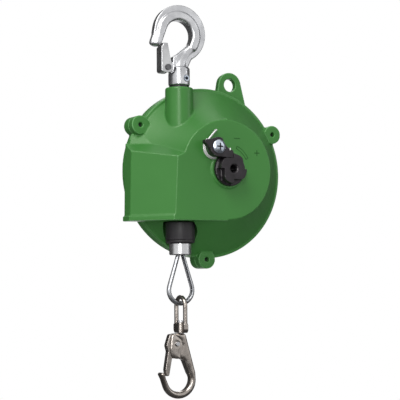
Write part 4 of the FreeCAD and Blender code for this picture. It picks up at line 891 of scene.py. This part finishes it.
thimble_run = eye_path(EYE_R, LEG_X, legs_part, eye_middle, cap_floor - 0.4 * MM)[2:-2]
thimble = channel("pressed_thimble", thimble_run, PLANE_NORMAL, thimble_section)
dress(thimble, galvanised)
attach(thimble, "rope_end")
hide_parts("thimble")
nickel = finish_of("satin_nickel", (0.28, 0.25, 0.227, 1), (0.46, 0.42, 0.385, 1), (0.17, 0.28), metallic=1.0,
                   cloud=0.006, fine=0.0012, bump=0.2, depth=0.05)

# The bail's foot is narrower beside the rivet's head than under it.
bail = cast_skin("swivel_bail", 0.26 * MM, 3)
foot_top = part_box("swivel_bail")[0].z + 9.0 * MM
for point in bail.data.vertices:
    if point.co.z < foot_top:
        beside = share(abs(point.co.y) - 4.6 * MM, 0.8 * MM)
        most = (4.2 - 2.2 * beside) * MM
        point.co.x = math.copysign(min(abs(point.co.x), most), point.co.x)
eased(bail, 7)
dress(bail, nickel)
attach(bail, "bail")
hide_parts("swivel_bail")
finish_nodes(turned_steel, "swivel_rivet")

# ---------------------------------------------------------------- snap hook and its gate
# Forged steel hook with a satin nickel plate, slotted for a folded sheet gate. The gate turns on a
# rivet and its light spring stands inside the slot.
gate_sheet = finish_of("gate_sheet", (0.26, 0.235, 0.215, 1), (0.4, 0.365, 0.335, 1), (0.2, 0.3),
                       metallic=1.0, cloud=0.004, fine=0.0008, bump=0.1)


def rounded_section(piece, half, reach, least, slotted_above, slot_half):
    """Rounds a flat forging: near its outline the depth falls off, but never into the gate's slot."""
    outline = [
        v.co for v in piece.data.vertices if abs(v.normal.y) < 0.35 and abs(v.co.y) > 0.45 * half
    ]
    tree = kdtree.KDTree(len(outline))
    for index, place in enumerate(outline):
        tree.insert((place.x, 0, place.z), index)
    tree.balance()
    for point in piece.data.vertices:
        gap = tree.find((point.co.x, 0, point.co.z))[2]
        inside = max(0.0, 1 - gap / reach)
        fall = least + (1 - least) * math.sqrt(max(0.0, 1 - inside * inside))
        kept = slot_half * share(point.co.z - slotted_above, 4 * MM)
        depth = abs(point.co.y)
        if depth > kept:
            point.co.y = math.copysign(kept + (depth - kept) * fall, point.co.y)


snap = cast_skin("snap_hook", 0.3 * MM, 3)
snap_low, snap_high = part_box("snap_hook")
rounded_section(snap, snap_high.y, 3.3 * MM, 0.3, snap_high.z - 38.0 * MM, 3.5 * MM)
eased(snap, 8)
dress(snap, nickel)
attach(snap, "snap")
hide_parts("snap_hook")

# The gate slims towards its free end, from its inner edge.
GATE_SLIMMER = 0.34
gate = cast_skin("snap_gate", 0.2 * MM, 2)
gate_low, gate_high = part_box("snap_gate")
lean = -6.0 * MM / (gate_low.z - gate_high.z + 10.0 * MM)
for point in gate.data.vertices:
    down = share(gate_high.z - 9.0 * MM - point.co.z, 7.0 * MM)
    edge_x = gate_low.x + (point.co.z - gate_low.z) * lean
    if point.co.x > edge_x:
        point.co.x = edge_x + (point.co.x - edge_x) * (1 - GATE_SLIMMER * down)
dress(gate, gate_sheet)
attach(gate, "gate")
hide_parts("snap_gate")
finish_nodes(turned_steel, "gate_rivet")
